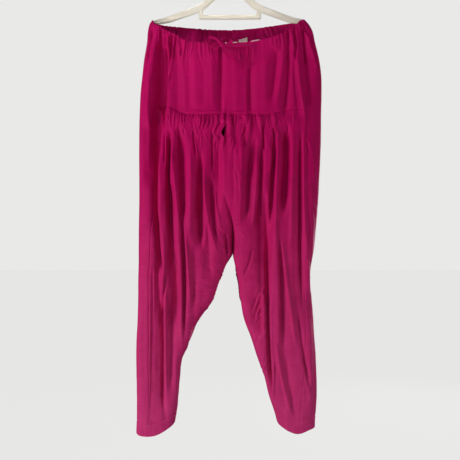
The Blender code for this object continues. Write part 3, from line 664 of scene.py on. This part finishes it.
def gathers(side, share, drop):
    """The pleats that start at the yoke's foot, and how the cloth swells there."""
    seam = by_side(SIDE_SEAMS, side, drop)
    start = np.where(share < 0.5, inner_start(side, drop), 0.0)
    way = np.clip((off_centre(share) - start) / (seam - start), 0.0, 1.0)
    foot = yoke_foot(side, share)
    below = np.clip(drop - foot, 0.0, None)
    held = ramp(drop - foot + 1.0) * ramp((1.0 - way) / GATHERS_END)
    lost = ramp((RIGHT_LOST[0] - share) / RIGHT_LOST[1])
    held = held * np.where((side > 0) & (share < 0.5), lost, 1.0)
    total = pleats_all_round(side, share, way, below, BROAD_GATHERS, BROAD_GATHERS, 10)
    total += pleats_all_round(side, share, way, below, FINE_GATHERS, FINE_GATHERS, 30)
    pinched = PINCHED + (1.0 - PINCHED) * ramp(below / PINCH_ENDS)
    puff = PUFF * ramp(below / PUFF_FULL) * ramp(1.0 - below / PUFF_ENDS)
    return held * (puff + total * pinched)


def puckers(side, share, drop):
    """The short pleats that start at the casing's foot."""
    way = off_centre(share) * 2.0
    below = np.clip(drop - waist_edge(side, share) - CASING_DEPTH, 0.0, None)
    total = pleats_all_round(side, share, way, below, FRONT_PUCKERS, BACK_PUCKERS, 20)
    return total * ramp(np.abs(share - 0.5) / PLAIN_TIP)


def waist_edge(side, share):
    """The drop of the casing's upper edge."""
    across = np.abs(np.sin(turn_of(share)))
    front = by_side(WAIST, side, across, "front_left", "front_right")
    back = by_side(WAIST, side, across, "back_left", "back_right")
    return np.where(share < 0.5, front, back)


def lap(side, share, drop):
    """The left edge of the slit goes under the right one."""
    under = ramp((LAP_SHARE - share) / LAP_SHARE) * ramp((SLIT_FOOT - drop) / LAP_FADE)
    return np.where(side < 0, -LAP_SINK * under, 0.0)


def seam_relief(side, share, drop):
    """The yoke's turned edge stands over the gathers, and the side seams lie in a slight groove."""
    seam = by_side(SIDE_SEAMS, side, drop)
    from_centre = off_centre(share)
    wander = FOOT_WANDERS * rumple(from_centre * WANDER_TIMES + 3.0 * side, 0.0 * drop, 9)
    below = drop - yoke_foot(side, share) - wander
    varies = EDGE_VARIES * rumple(from_centre * VARY_TIMES + side, 0.0 * drop, 8)
    edge = relief(below, TURNED_EDGE[0] + varies, *TURNED_EDGE[1:]) + relief(below, *STEP)
    edge *= ramp((seam - from_centre) / EDGE_STOPS)
    groove = relief(from_centre - seam, *SIDE_GROOVE) * ramp((drop - GROOVE_STARTS) / GROOVE_RUN)
    return edge + groove + relief(drop - by_side(HEMS, side, share), *HEM_STITCH)


def draped(around, drop, inset=0.0):
    """Points of the cloth's outer face, or of a face that lies inset under it, in millimetres."""
    side, share = side_and_share(around)
    x, y = section(side, share, drop)
    out_x, out_y = facing(side, share, drop)
    seen_x, seen_drop = seen_from_front(x, y, drop, share)
    lift = folds(seen_x, seen_drop, share) + creases(seen_x, seen_drop, drop, share)
    lift += gathers(side, share, drop)
    lift += puckers(side, share, drop) + lap(side, share, drop) + seam_relief(side, share, drop)
    lift = np.maximum(lift, -1.0 - SINKS_TO * np.abs(y))
    # Where the two faces of a leg close on each other, nothing lifts off its inner edge.
    closing = ramp((drop - CLOSING_STARTS) / INSEAM_FLATTENS)
    near_inner = 1.0 - ramp(np.minimum(share, 1.0 - share) / PLAIN_INSEAM)
    away = lift * (1.0 - closing * near_inner) - inset
    return np.stack([x + out_x * away, y + out_y * away, -drop], axis=-1)


def drop_at(around, level):
    """The drop of a level: -1 is the waist's edge, 0 the casing's foot, 1 the yoke seam, 2 the crotch,
    3 the hem band's top and 4 its foot."""
    side, share = side_and_share(around)
    waist = waist_edge(side, share)
    hem = by_side(HEMS, side, np.clip(share, 0.0, 1.0))
    crotch = np.full_like(waist, CROTCH)
    knots = np.stack([waist, waist + CASING_DEPTH, yoke_foot(side, share), crotch, hem - HEM_DEPTH, hem])
    zone = np.clip(np.floor(level + 1.0).astype(int), 0, 4) + np.zeros_like(waist, int)
    upper = np.take_along_axis(knots, zone[None], 0)[0]
    lower = np.take_along_axis(knots, zone[None] + 1, 0)[0]
    return upper + (lower - upper) * (level + 1.0 - zone)


def edge_places(edge, levels):
    """The places around of a cut edge at each level. An edge goes by the drop, so a few rounds settle it."""
    around = edge(np.full_like(levels, YOKE_SEAM))
    for _ in range(5):
        around = edge(drop_at(around, levels))
    return around


# The cut edges, each as its place around at a drop.


def straight(place):
    return lambda drop: place + 0.0 * drop


def centre_right(drop):
    return inner_start(1.0, drop)


def centre_left(drop):
    return 2.0 - inner_start(-1.0, drop)


def seam_front_right(drop):
    return read_table(SIDE_SEAMS, "right", drop)


def seam_back_right(drop):
    return 1.0 - seam_front_right(drop)


def seam_front_left(drop):
    return 2.0 - read_table(SIDE_SEAMS, "left", drop)


def seam_back_left(drop):
    return 3.0 - seam_front_left(drop)


centre_back_right = straight(1.0)
centre_back_left = straight(1.0 + 1e-7)  # just past the centre, and so on the left half


# Plain-woven cotton silk, piece-dyed magenta. The eye sees a low soft sheen, slubs in the weft as faint
# streaks and a slightly cloudy dye. Towards the cuffs a painted sheen makes the colour paler and duller,
# standing in for the light that falls more on the legs.
cotton_silk, tree, shader = new_material("plain_woven_cotton_silk")
DYED = ("#a80050", "#bb005c")  # its darker and paler shades above, and below them the same with a painted sheen at the cuffs
PAINTED_SHEEN_SHADES = ("#ad2060", "#c23270")
SHADE_STOPS = (0.35, 0.75)
PAINTED_SHEEN_STARTS = 550.0
PAINTED_SHEEN_ENDS = 1150.0
SLUB_LONG = 26.0
SLUB_THICK = 1.6
CLOUD = 35.7
SLUB_TINTS = 0.55  # how much the slubs and the clouds change the tone, and what it starts from
CLOUD_TINTS = 0.5
TONE_STARTS = 0.1
SLUB_STANDS = 1.4  # how high a slub stands beside a thread
THREAD = 4.737  # mm from thread to thread: the real 0.3 mm is too fine to show, so 16 times as coarse
WAVE_TURNS = 20.0  # the radians that a Wave texture goes through in one unit of its scale
weave_at = add_node(tree, "ShaderNodeTexCoord").outputs["UV"]
slub_scale = (1 / (SLUB_LONG * MM), 1 / (SLUB_THICK * MM), 1.0)
slubs = add_node(tree, "ShaderNodeMapping", {"Vector": weave_at, "Scale": slub_scale})
slub = add_node(tree, "ShaderNodeTexNoise", {"Vector": slubs.outputs[0], "Scale": 1.0, "Detail": 3.0})
clouds = {"Vector": weave_at, "Scale": 1 / (CLOUD * MM), "Detail": 4.0}
cloudy = add_node(tree, "ShaderNodeTexNoise", clouds)
thread = {"Vector": weave_at, "Scale": 2 * math.pi / WAVE_TURNS / (THREAD * MM), "Distortion": 0.6}
warp = add_node(tree, "ShaderNodeTexWave", thread, bands_direction="X")
weft = add_node(tree, "ShaderNodeTexWave", thread, bands_direction="Y")
streaks = {0: slub.outputs["Fac"], 1: SLUB_TINTS, 2: TONE_STARTS}
streaked = add_node(tree, "ShaderNodeMath", streaks, operation="MULTIPLY_ADD")
patches = {0: cloudy.outputs["Fac"], 1: CLOUD_TINTS, 2: streaked.outputs["Value"]}
tone = add_node(tree, "ShaderNodeMath", patches, operation="MULTIPLY_ADD")
shades = []
for colours in (DYED, PAINTED_SHEEN_SHADES):
    shade = add_node(tree, "ShaderNodeValToRGB", {"Fac": tone.outputs["Value"]})
    for stop, position, colour in zip(shade.color_ramp.elements, SHADE_STOPS, colours):
        stop.position = position
        stop.color = linear(colour)
    shades.append(shade.outputs["Color"])
# Painted sheen: from part way down the hips to the cuffs the colour turns paler, standing in for the light
# that falls more on the legs.
cloth_at = add_node(tree, "ShaderNodeTexCoord").outputs["Object"]
height_at = add_node(tree, "ShaderNodeSeparateXYZ", {"Vector": cloth_at}).outputs["Z"]
painted_sheen_range = {"Value": height_at, "From Min": -PAINTED_SHEEN_STARTS * MM, "From Max": -PAINTED_SHEEN_ENDS * MM}
painted_sheen = add_node(tree, "ShaderNodeMapRange", painted_sheen_range).outputs["Result"]
colour = add_node(tree, "ShaderNodeMix", data_type="RGBA")
tree.links.new(painted_sheen, colour.inputs["Factor"])
for socket, shade in zip((6, 7), shades):  # its two colour sockets
    tree.links.new(shade, colour.inputs[socket])
tree.links.new(colour.outputs[2], shader.inputs["Base Color"])
crossing = {0: warp.outputs["Fac"], 1: weft.outputs["Fac"]}
threads = add_node(tree, "ShaderNodeMath", crossing, operation="MAXIMUM")
raised = {0: slub.outputs["Fac"], 1: SLUB_STANDS, 2: threads.outputs["Value"]}
height = add_node(tree, "ShaderNodeMath", raised, operation="MULTIPLY_ADD").outputs["Value"]
bump = add_node(tree, "ShaderNodeBump", {"Height": height, "Strength": 0.35, "Distance": 0.0002})
tree.links.new(bump.outputs["Normal"], shader.inputs["Normal"])
shader.inputs["Roughness"].default_value = 0.66
shader.inputs["Specular IOR Level"].default_value = 0.09
shader.inputs["Sheen Weight"].default_value = 0.08
shader.inputs["Sheen Roughness"].default_value = 0.35
shader.inputs["Sheen Tint"].default_value = linear("#ffb0dc")

CLOTH_THICK = 0.7
ALLOWANCE_SINKS = 0.9  # how deep a seam's allowance lies under its neighbour
ALLOWANCE_DIVES = 0.001  # the share of a piece's width in which it gets there


def sharpen_rim(bm):
    """Makes the cut edges sharp, so that the face beside one shades evenly."""
    for edge in bm.edges:
        edge.smooth = not edge.is_boundary


def cloth_mesh(name, points, cloth, closed=False):
    """A mesh through a grid of points in millimetres, with its threads in its UV map, in metres. A closed
    one has its two sides joined to a tube."""
    rows, columns = points.shape[:2]
    bm = bmesh.new()
    bmesh.ops.create_grid(bm, x_segments=columns - 1, y_segments=rows - 1, size=0.5)
    sharpen_rim(bm)
    made = bpy.data.meshes.new(name)
    bm.to_mesh(made)
    bm.free()
    order = np.arange(rows * columns)  # the grid's points run row by row, from its lowest row
    column = order % columns
    row = rows - 1 - order // columns
    made.vertices.foreach_set("co", (points[row, column] * MM).ravel())
    across = np.linalg.norm(np.diff(points, axis=1), axis=-1)
    across = np.concatenate([np.zeros((rows, 1)), np.cumsum(across, axis=1)], axis=1)
    across -= across[:, columns // 2][:, None]
    corners = np.empty(len(made.loops), int)
    made.loops.foreach_get("vertex_index", corners)
    u = 0.5 + across[row, column][corners] * MM
    v = -points[row, column, 2][corners] * MM
    layer = made.uv_layers.new(name="threads")
    layer.data.foreach_set("uv", np.stack([u, 1.0 - v], axis=-1).ravel())
    if closed:
        bm = bmesh.new()
        bm.from_mesh(made)
        bmesh.ops.remove_doubles(bm, verts=bm.verts, dist=1e-6)
        sharpen_rim(bm)
        if not any(edge.is_boundary for edge in bm.edges):
            bmesh.ops.recalc_face_normals(bm, faces=bm.faces)
        bm.to_mesh(made)
        bm.free()
    made.shade_smooth()
    made.materials.append(cloth)
    return made


def add_piece(name, mesh):
    obj = show(bpy.data.objects.new(name, mesh))
    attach(obj, "root")
    return obj


def cloth_piece(node, points, cloth=cotton_silk, closed=False):
    """A thin sheet of cloth that stands for a CAD node."""
    obj = add_piece(node + "_cloth", cloth_mesh(node + "_cloth", points, cloth, closed))
    wall = obj.modifiers.new("cloth thickness", "SOLIDIFY")
    wall.thickness = CLOTH_THICK * MM
    wall.offset = -1.0
    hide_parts(node)


def panel(start, end, levels, columns, turned_under=0.0):
    """The grid of points of a cut piece between two edges, a row at each level. turned_under is how much
    of it goes on past each edge, inside its neighbour."""
    first = edge_places(start, levels)
    last = edge_places(end, levels)
    way = np.linspace(0.0, 1.0, columns)
    inset = np.zeros(columns)
    if turned_under:
        before = [-turned_under, -ALLOWANCE_DIVES]
        way = np.concatenate([before, way, [1.0 + ALLOWANCE_DIVES, 1.0 + turned_under]])
        inset = np.concatenate([[ALLOWANCE_SINKS] * 2, inset, [ALLOWANCE_SINKS] * 2])
    around = first[:, None] + (last - first)[:, None] * way
    return draped(around, drop_at(around, levels[:, None] + 0.0 * around), inset)


FRONT_GRID = (236, 140)  # rows and columns
BACK_GRID = (140, 130)
PLEAT_LEVELS = np.linspace(1.0, 1.12, 24)[1:-1]  # more rows, where the small pleats start
LEGS = (
    ("front_leg_right", "yoke_front_right", centre_right, seam_front_right, FRONT_GRID),
    ("front_leg_left", "yoke_front_left", seam_front_left, centre_left, FRONT_GRID),
    ("back_leg_right", "yoke_back", seam_back_right, centre_back_right, BACK_GRID),
    ("back_leg_left", "yoke_back", centre_back_left, seam_back_left, BACK_GRID),
)
for node, yoke, start, end, (rows, columns) in LEGS:
    levels = np.sort(np.append(np.linspace(1.0, 3.0, rows), PLEAT_LEVELS))
    cloth_piece(node, panel(start, end, levels, columns))


# The side panels: one straight piece of the same cloth down each side, from the casing to the cuff with
# no yoke seam. Each is sewn to the yoke and the legs along both edges, over turned-in allowances.

SIDE_GRID = (260, 60)
SIDE_ALLOWANCE = 0.04  # the share of its width that is turned in at each edge
for node, start, end in (
    ("side_panel_right", seam_front_right, seam_back_right),
    ("side_panel_left", seam_back_left, seam_front_left),
):
    levels = np.linspace(0.0, 3.0, SIDE_GRID[0])
    points = panel(start, end, levels, SIDE_GRID[1], SIDE_ALLOWANCE)
    cloth_piece(node, points)


# The yoke: two front pieces and one back piece of the same cloth, cut plain and fitted round the hips.
# They are sewn under the casing, and at the slit the right front laps over the left one.

YOKE_ROWS = 70
lap_left = straight(2.0 + LAP_SHARE)
for node, start, end, columns, cut in (
    ("yoke_front_right", centre_right, seam_front_right, 120, (0.24, 0.19)),
    ("yoke_front_left", seam_front_left, lap_left, 120, (0.24, 0.19)),
    ("yoke_back", seam_back_right, seam_back_left, 240, (0.44, 0.225)),
):
    points = panel(start, end, np.linspace(0.0, 1.0, YOKE_ROWS), columns)
    cloth_piece(node, points)


# The casing: the waist's edge turned in and stitched down as a tunnel, which the drawstring draws into
# short puckers. It hangs from the hanger's two tips.

CASING_ROWS = 16
tip_right = straight(0.5)
tip_left = straight(1.5)
for node, start, end, columns, cut in (
    ("casing_front_right", centre_right, tip_right, 180, (0.27, 0.02)),
    ("casing_back", tip_right, tip_left, 360, (0.54, 0.02)),
    ("casing_front_left", tip_left, lap_left, 180, (0.27, 0.02)),
):
    points = panel(start, end, np.linspace(-1.0, 0.0, CASING_ROWS), columns)
    cloth_piece(node, points)


# The cuffs: the foot of each leg with its side panel, turned up inside in a deep plain hem and stitched
# round once. Each is open below.

CUFF_GRID = (12, 120)
CUFF_STARTS = 1e-6  # just inside its own half of the way around
for node, leg, first in (
    ("hem_band_right", "front_leg_right_cloth", 0.0),
    ("hem_band_left", "front_leg_left_cloth", 1.0),
):
    around = first + np.linspace(CUFF_STARTS, 1.0 - CUFF_STARTS, CUFF_GRID[1])
    levels = np.linspace(3.0, 4.0, CUFF_GRID[0])
    around = around[None, :] + 0.0 * levels[:, None]
    points = draped(around, drop_at(around, levels[:, None] + 0.0 * around))
    points[:, -1] = points[:, 0]
    cloth_piece(node, points, closed=True)


# The drawstring: a flat tie of the same cloth, 8 mm wide, folded and stitched along one edge. It is tied
# in a single bow at the slit: one loop lies to the left, and both ends hang to the right of the knot.

TIE_WIDTH = 8.0
TIE_THICK = 1.6
TIE_FLATNESS = 0.5
CRUSHED = 0.16  # the share by which its width comes and goes, and the mm by which it cups
CUPPED = 0.9
CRUSHED_EVERY = 9.0  # how many of the line's points there are to a bump of each kind
CUPPED_EVERY = 7.0
KNOT = (-15.0, -47.0, 258.0)
LOOP_ROUTE = (
    (-21.1, -47.9, 253.6),
    (-27.0, -48.5, 246.3),
    (-36.0, -49.0, 240.8),
    (-45.0, -48.8, 239.8),
    (-51.0, -48.5, 246.0),
    (-50.5, -48.7, 254.0),
    (-44.0, -49.0, 260.5),
    (-34.0, -49.2, 262.4),
    (-21.0, -48.5, 260.6),
)
RIGHT_ROUTE = (
    (-8.4, -47.0, 257.0),
    (4.0, -47.8, 257.5),
    (18.0, -47.8, 258.5),
    (32.0, -47.3, 257.0),
    (44.0, -46.8, 257.0),
    (51.5, -46.5, 263.5),
    (52.0, -46.5, 277.0),
    (49.5, -46.5, 293.0),
    (46.5, -46.5, 312.0),
)
LEFT_ROUTE = (
    (-11.6, -48.6, 263.3),
    (-4.0, -50.0, 269.5),
    (6.0, -50.3, 276.0),
    (17.0, -50.3, 287.0),
    (26.0, -50.0, 300.0),
    (31.0, -50.0, 316.0),
)
KNOT_HALF = (6.8, 4.6, 5.8)
KNOT_TURNS = (0.13, 3.0, 5.0)  # the ties' turns on the knot: how deep, and how fast round and along it
KNOT_CREASES = (0.05, 9.0, 4.0)  # its fine creases: how deep, and how fast across and up it


def smooth_path(points, count):
    """Points read evenly from a smooth curve through the ones given."""
    points = np.array(points, float)
    known = np.concatenate([[0.0], np.cumsum(np.linalg.norm(np.diff(points, axis=0), axis=1))])
    wanted = np.linspace(0.0, known[-1], count)
    table = [("way", "x", "y", "z")] + [(way, *point) for way, point in zip(known, points)]
    return np.stack([read_table(table, axis, wanted) for axis in "xyz"], axis=-1)


def directions(line):
    """The unit vector along a line at each of its points."""
    along = np.gradient(line, axis=0)
    return along / np.linalg.norm(along, axis=1)[:, None]


def ring_round(line, wide, out, off_wide, off_out):
    """A ring of points about each point of a line, with both ends closed to a point."""
    points = line[:, None] + (wide[:, None] * off_wide[:, :, None] + out[:, None] * off_out[:, :, None])
    points[:, -1] = points[:, 0]
    points[0] = line[0]
    points[-1] = line[-1]
    return points


def tie(name, route, turns, count):
    """A flat tie along its route. turns are how far it is turned edge-on, in degrees, along the way."""
    line = smooth_path([(x, y, -drop) for x, y, drop in route], count)
    along = directions(line)
    wide = np.cross(along, (0.0, -1.0, 0.0))
    wide /= np.linalg.norm(wide, axis=1)[:, None]
    out = np.cross(wide, along)
    way = np.linspace(0.0, 1.0, count)
    turned = np.radians(np.interp(way, np.linspace(0, 1, len(turns)), turns))[:, None]
    wide, out = wide * np.cos(turned) + out * np.sin(turned), out * np.cos(turned) - wide * np.sin(turned)
    angle = np.linspace(0.0, 2.0 * math.pi, 25)
    flat_x = flattened(np.cos(angle), TIE_FLATNESS) * TIE_WIDTH / 2
    crushed = 1.0 + CRUSHED * rumple(way * count / CRUSHED_EVERY, way * 0.0, len(route))[:, None]
    cupped = CUPPED * rumple(way * count / CUPPED_EVERY, way * 0.0, len(route) + 7)[:, None]
    off_out = np.sin(angle) * TIE_THICK / 2 + cupped * (flat_x / TIE_WIDTH * 2) ** 2
    points = ring_round(line, wide, out, flat_x * crushed, off_out)
    made = cloth_mesh(name, points, cotton_silk, closed=True)
    return add_piece(name, made), line * MM


bm = bmesh.new()
bmesh.ops.create_uvsphere(bm, u_segments=32, v_segments=20, radius=1.0)
turn_deep, turn_round, turn_along = KNOT_TURNS
crease_deep, crease_across, crease_up = KNOT_CREASES
for vert in bm.verts:
    x, y, z = vert.co
    turns = turn_deep * math.sin(turn_round * math.atan2(z, x) + turn_along * y)
    crushed = 1.0 + turns + crease_deep * math.sin(crease_across * x + crease_up * z)
    at = [half * c * crushed for half, c in zip(KNOT_HALF, (x, y, z))]
    vert.co = (Vector(at) + Vector((KNOT[0], KNOT[1], -KNOT[2]))) * MM
mesh = mesh_of(bm, "drawstring_knot_cloth", cotton_silk)
knot = add_piece("drawstring_knot_cloth", mesh)
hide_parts("drawstring_knot")

for name, route, turns, count, far_end in (
    ("drawstring_loop", LOOP_ROUTE, (50, 55, 40, 50, 75, 80, 75, 60), 60, "object"),
    ("drawstring_right_end", RIGHT_ROUTE, (40, 25, 40, 50, 60, 60, 50, 40), 60, "bare"),
    ("drawstring_left_end", LEFT_ROUTE, (50, 55, 60, 50, 60), 40, "bare"),
):
    cord, path = tie(name + "_cloth", route, turns, count)
    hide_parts(name)


# The tape: a narrow white cotton tape stitched inside the waist. Its edge shows behind the front's edge,
# in three stretches to the right of the slit.

TAPE_SHOWS = ((0.010, 0.022), (0.040, 0.072), (0.110, 0.180))
TAPE_RUNS = (0.014, 0.186)
TAPE_ROWS = (-2.4, 2.5, 5.0, 10.0)
TAPE_DIPS = 4.2  # how far its edge goes down between the stretches that show
TAPE_RISES = 1.6  # the higher it is, the sooner the edge is up at each end of a stretch
TAPE_INSET = 2.3
TAPE_RIB = 1.667  # mm: the real ribs of 0.4 mm are too fine to show


def mottled(name, coordinates, size, detail, colours, roughness):
    """A material whose colour wanders between two near shades, in patches of a size in millimetres."""
    made, tree, shader = new_material(name)
    at = add_node(tree, "ShaderNodeTexCoord").outputs[coordinates]
    patches = {"Vector": at, "Scale": 1 / (size * MM), "Detail": detail}
    patchy = add_node(tree, "ShaderNodeTexNoise", patches).outputs["Fac"]
    shade = add_node(tree, "ShaderNodeValToRGB", {"Fac": patchy})
    for stop, colour in zip(shade.color_ramp.elements, colours):
        stop.color = linear(colour)
    tree.links.new(shade.outputs["Color"], shader.inputs["Base Color"])
    shader.inputs["Roughness"].default_value = roughness
    return made, tree, shader


def inside_waist(around, rows, inset, dip=0.0, slope=0.0):
    """The grid of points of a small piece inside the waist. rows are how far below its edge they lie, and
    dip lowers the first."""
    edge = waist_edge(*side_and_share(around)) + slope * np.linspace(-0.5, 0.5, len(around))
    first = draped(around, edge + rows[0] + dip, inset)
    return np.array([first] + [draped(around, edge + below, inset) for below in rows[1:]])


# Bleached cotton tape, closely woven: a matt off-white, with a painted pink cast for the light that the
# cloth around it throws on it.
white_cotton = mottled("bleached_cotton_tape", "UV", TAPE_RIB, 2.0, ("#f0d8e0", "#fdf3f5"), 0.8)[0]

along_tape = np.linspace(*TAPE_RUNS, 120)
shown = np.zeros_like(along_tape)
for start, end in TAPE_SHOWS:
    middle = (start + end) / 2
    shown += ramp((1.0 - np.abs(along_tape - middle) / (end - middle)) * TAPE_RISES)
points = inside_waist(along_tape, TAPE_ROWS, TAPE_INSET, dip=TAPE_DIPS * (1.0 - shown))
cloth_piece("inner_tape", points, white_cotton)


# The size label: a small blank piece of satin ribbon, sewn in under the casing inside the back. It hangs
# a little aslant.

LABEL_RUNS = (0.885, 0.925)
LABEL_ROWS = (23.0, 26.0, 29.5, 33.0, 36.0)
LABEL_SLOPE = 4.0
LABEL_INSET = 3.4
LABEL_WEAVE = 2.5  # mm: the real weave of 0.1 mm is too fine to show

# Polyester satin, woven: a soft shine, and a greyish white with a painted pink cast for the light that the
# cloth beside it throws on it.
satin = mottled("woven_polyester_satin_label", "UV", LABEL_WEAVE, 2.0, ("#dabcbf", "#e6cccd"), 0.45)[0]
points = inside_waist(np.linspace(*LABEL_RUNS, 16), LABEL_ROWS, LABEL_INSET, slope=LABEL_SLOPE)
cloth_piece("size_label", points, satin)


# The hanger's tie bar: a straight bar on two short posts that ties the arms together. The whole hanger
# is one moulding of cream polypropylene, with rounded edges.

BAR_OUTLINE = (
    (-74.0, -154.0),
    (-74.0, -182.0),
    (78.0, -182.0),
    (78.0, -154.0),
    (67.5, -152.0),
    (67.5, -171.5),
    (-63.5, -171.5),
    (-63.5, -152.0),
)
BAR_DEPTH = 7.0
BAR_ROUNDS = 2.4
FLOW_MARK = 45.45
GRAIN = 1.111  # mm: the mould's real grain of 0.1 mm is too fine to show

# Moulded polypropylene, cream: a satin skin, with faint flow marks and the mould's fine grain.
polypropylene, tree, shader = mottled(
    "moulded_cream_polypropylene", "Object", FLOW_MARK, 3.0, ("#e9e0cd", "#f3ebdb"), 0.38
)
hanger_at = add_node(tree, "ShaderNodeTexCoord").outputs["Object"]
grains = {"Vector": hanger_at, "Scale": 1 / (GRAIN * MM), "Detail": 1.0}
grain = add_node(tree, "ShaderNodeTexNoise", grains).outputs["Fac"]
bump = add_node(tree, "ShaderNodeBump", {"Height": grain, "Strength": 0.15, "Distance": 0.0001})
tree.links.new(bump.outputs["Normal"], shader.inputs["Normal"])

bm = bmesh.new()
outline = [bm.verts.new((x * MM, -BAR_DEPTH / 2 * MM, z * MM)) for x, z in BAR_OUTLINE]
face = bm.faces.new(outline)
extruded = bmesh.ops.extrude_face_region(bm, geom=[face])
far_side = [e for e in extruded["geom"] if isinstance(e, bmesh.types.BMVert)]
bmesh.ops.translate(bm, verts=far_side, vec=(0.0, BAR_DEPTH * MM, 0.0))
bmesh.ops.recalc_face_normals(bm, faces=bm.faces)
bmesh.ops.bevel(
    bm,
    geom=bm.edges,
    offset=BAR_ROUNDS * MM,
    segments=4,
    profile=0.5,
    affect="EDGES",
    clamp_overlap=True,
    material=-1,
)
mesh = mesh_of(bm, "hanger_tie_bar_moulding", polypropylene)
tie_bar = add_piece("hanger_tie_bar_moulding", mesh)
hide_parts("hanger_tie_bar")


# The hanger's arms: one flat-sided bar of the same moulding, tallest in the middle. It slopes down to
# two rounded tips inside the waist, which stretch the casing.

HANGER_CENTRE = 1.0
ARM_THICK = 8.0
ARM_FLATNESS = 0.7
ARM_SLOPE = (
    # X from the hanger's centre, and the drop
    (0, 104),
    (14, 107),
    (30, 118),
    (46, 133),
    (61, 147),
    (76, 156),
    (96, 164),
    (121, 173),
    (146, 182),
)
ARM_TIPS = (-185.0, 187.0)
ARM_TIP_DROP = 189.5
ARM_REACH = (0.0, 12.0, 45.0, 150.0, 178.0, 184.0, 186.0)
ARM_HEIGHTS = (26.0, 22.0, 17.5, 15.0, 12.0, 6.0, 1.0)
ARM_THINS = 12.0  # below this height the bar gets thinner with it

slope = [(HANGER_CENTRE - x, 0.0, -drop) for x, drop in ARM_SLOPE[:0:-1]]
slope += [(HANGER_CENTRE + x, 0.0, -drop) for x, drop in ARM_SLOPE]
left_tip, right_tip = ((x, 0.0, -ARM_TIP_DROP) for x in ARM_TIPS)
line = smooth_path([left_tip, *slope, right_tip], 120)
depthwise = np.zeros_like(line) + (0.0, 1.0, 0.0)
up = np.cross(directions(line), depthwise)
tall = np.interp(np.abs(line[:, 0] - HANGER_CENTRE), ARM_REACH, ARM_HEIGHTS)[:, None]
thick = ARM_THICK * np.minimum(1.0, tall / ARM_THINS)
angle = np.linspace(0.0, 2.0 * math.pi, 33)
off_up = flattened(np.sin(angle), ARM_FLATNESS) * tall / 2
off_deep = flattened(np.cos(angle), ARM_FLATNESS) * thick / 2
points = ring_round(line, up, depthwise, off_up, off_deep)
mesh = cloth_mesh("hanger_arms_moulding", points, polypropylene, closed=True)
arms = add_piece("hanger_arms_moulding", mesh)
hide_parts("hanger_arms")


# The hanger's hook: moulded with the arms, so it doesn't turn. Its solid has the right shape, and stays
# with the same material.

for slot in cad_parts["hanger_hook"].material_slots:
    slot.material = polypropylene
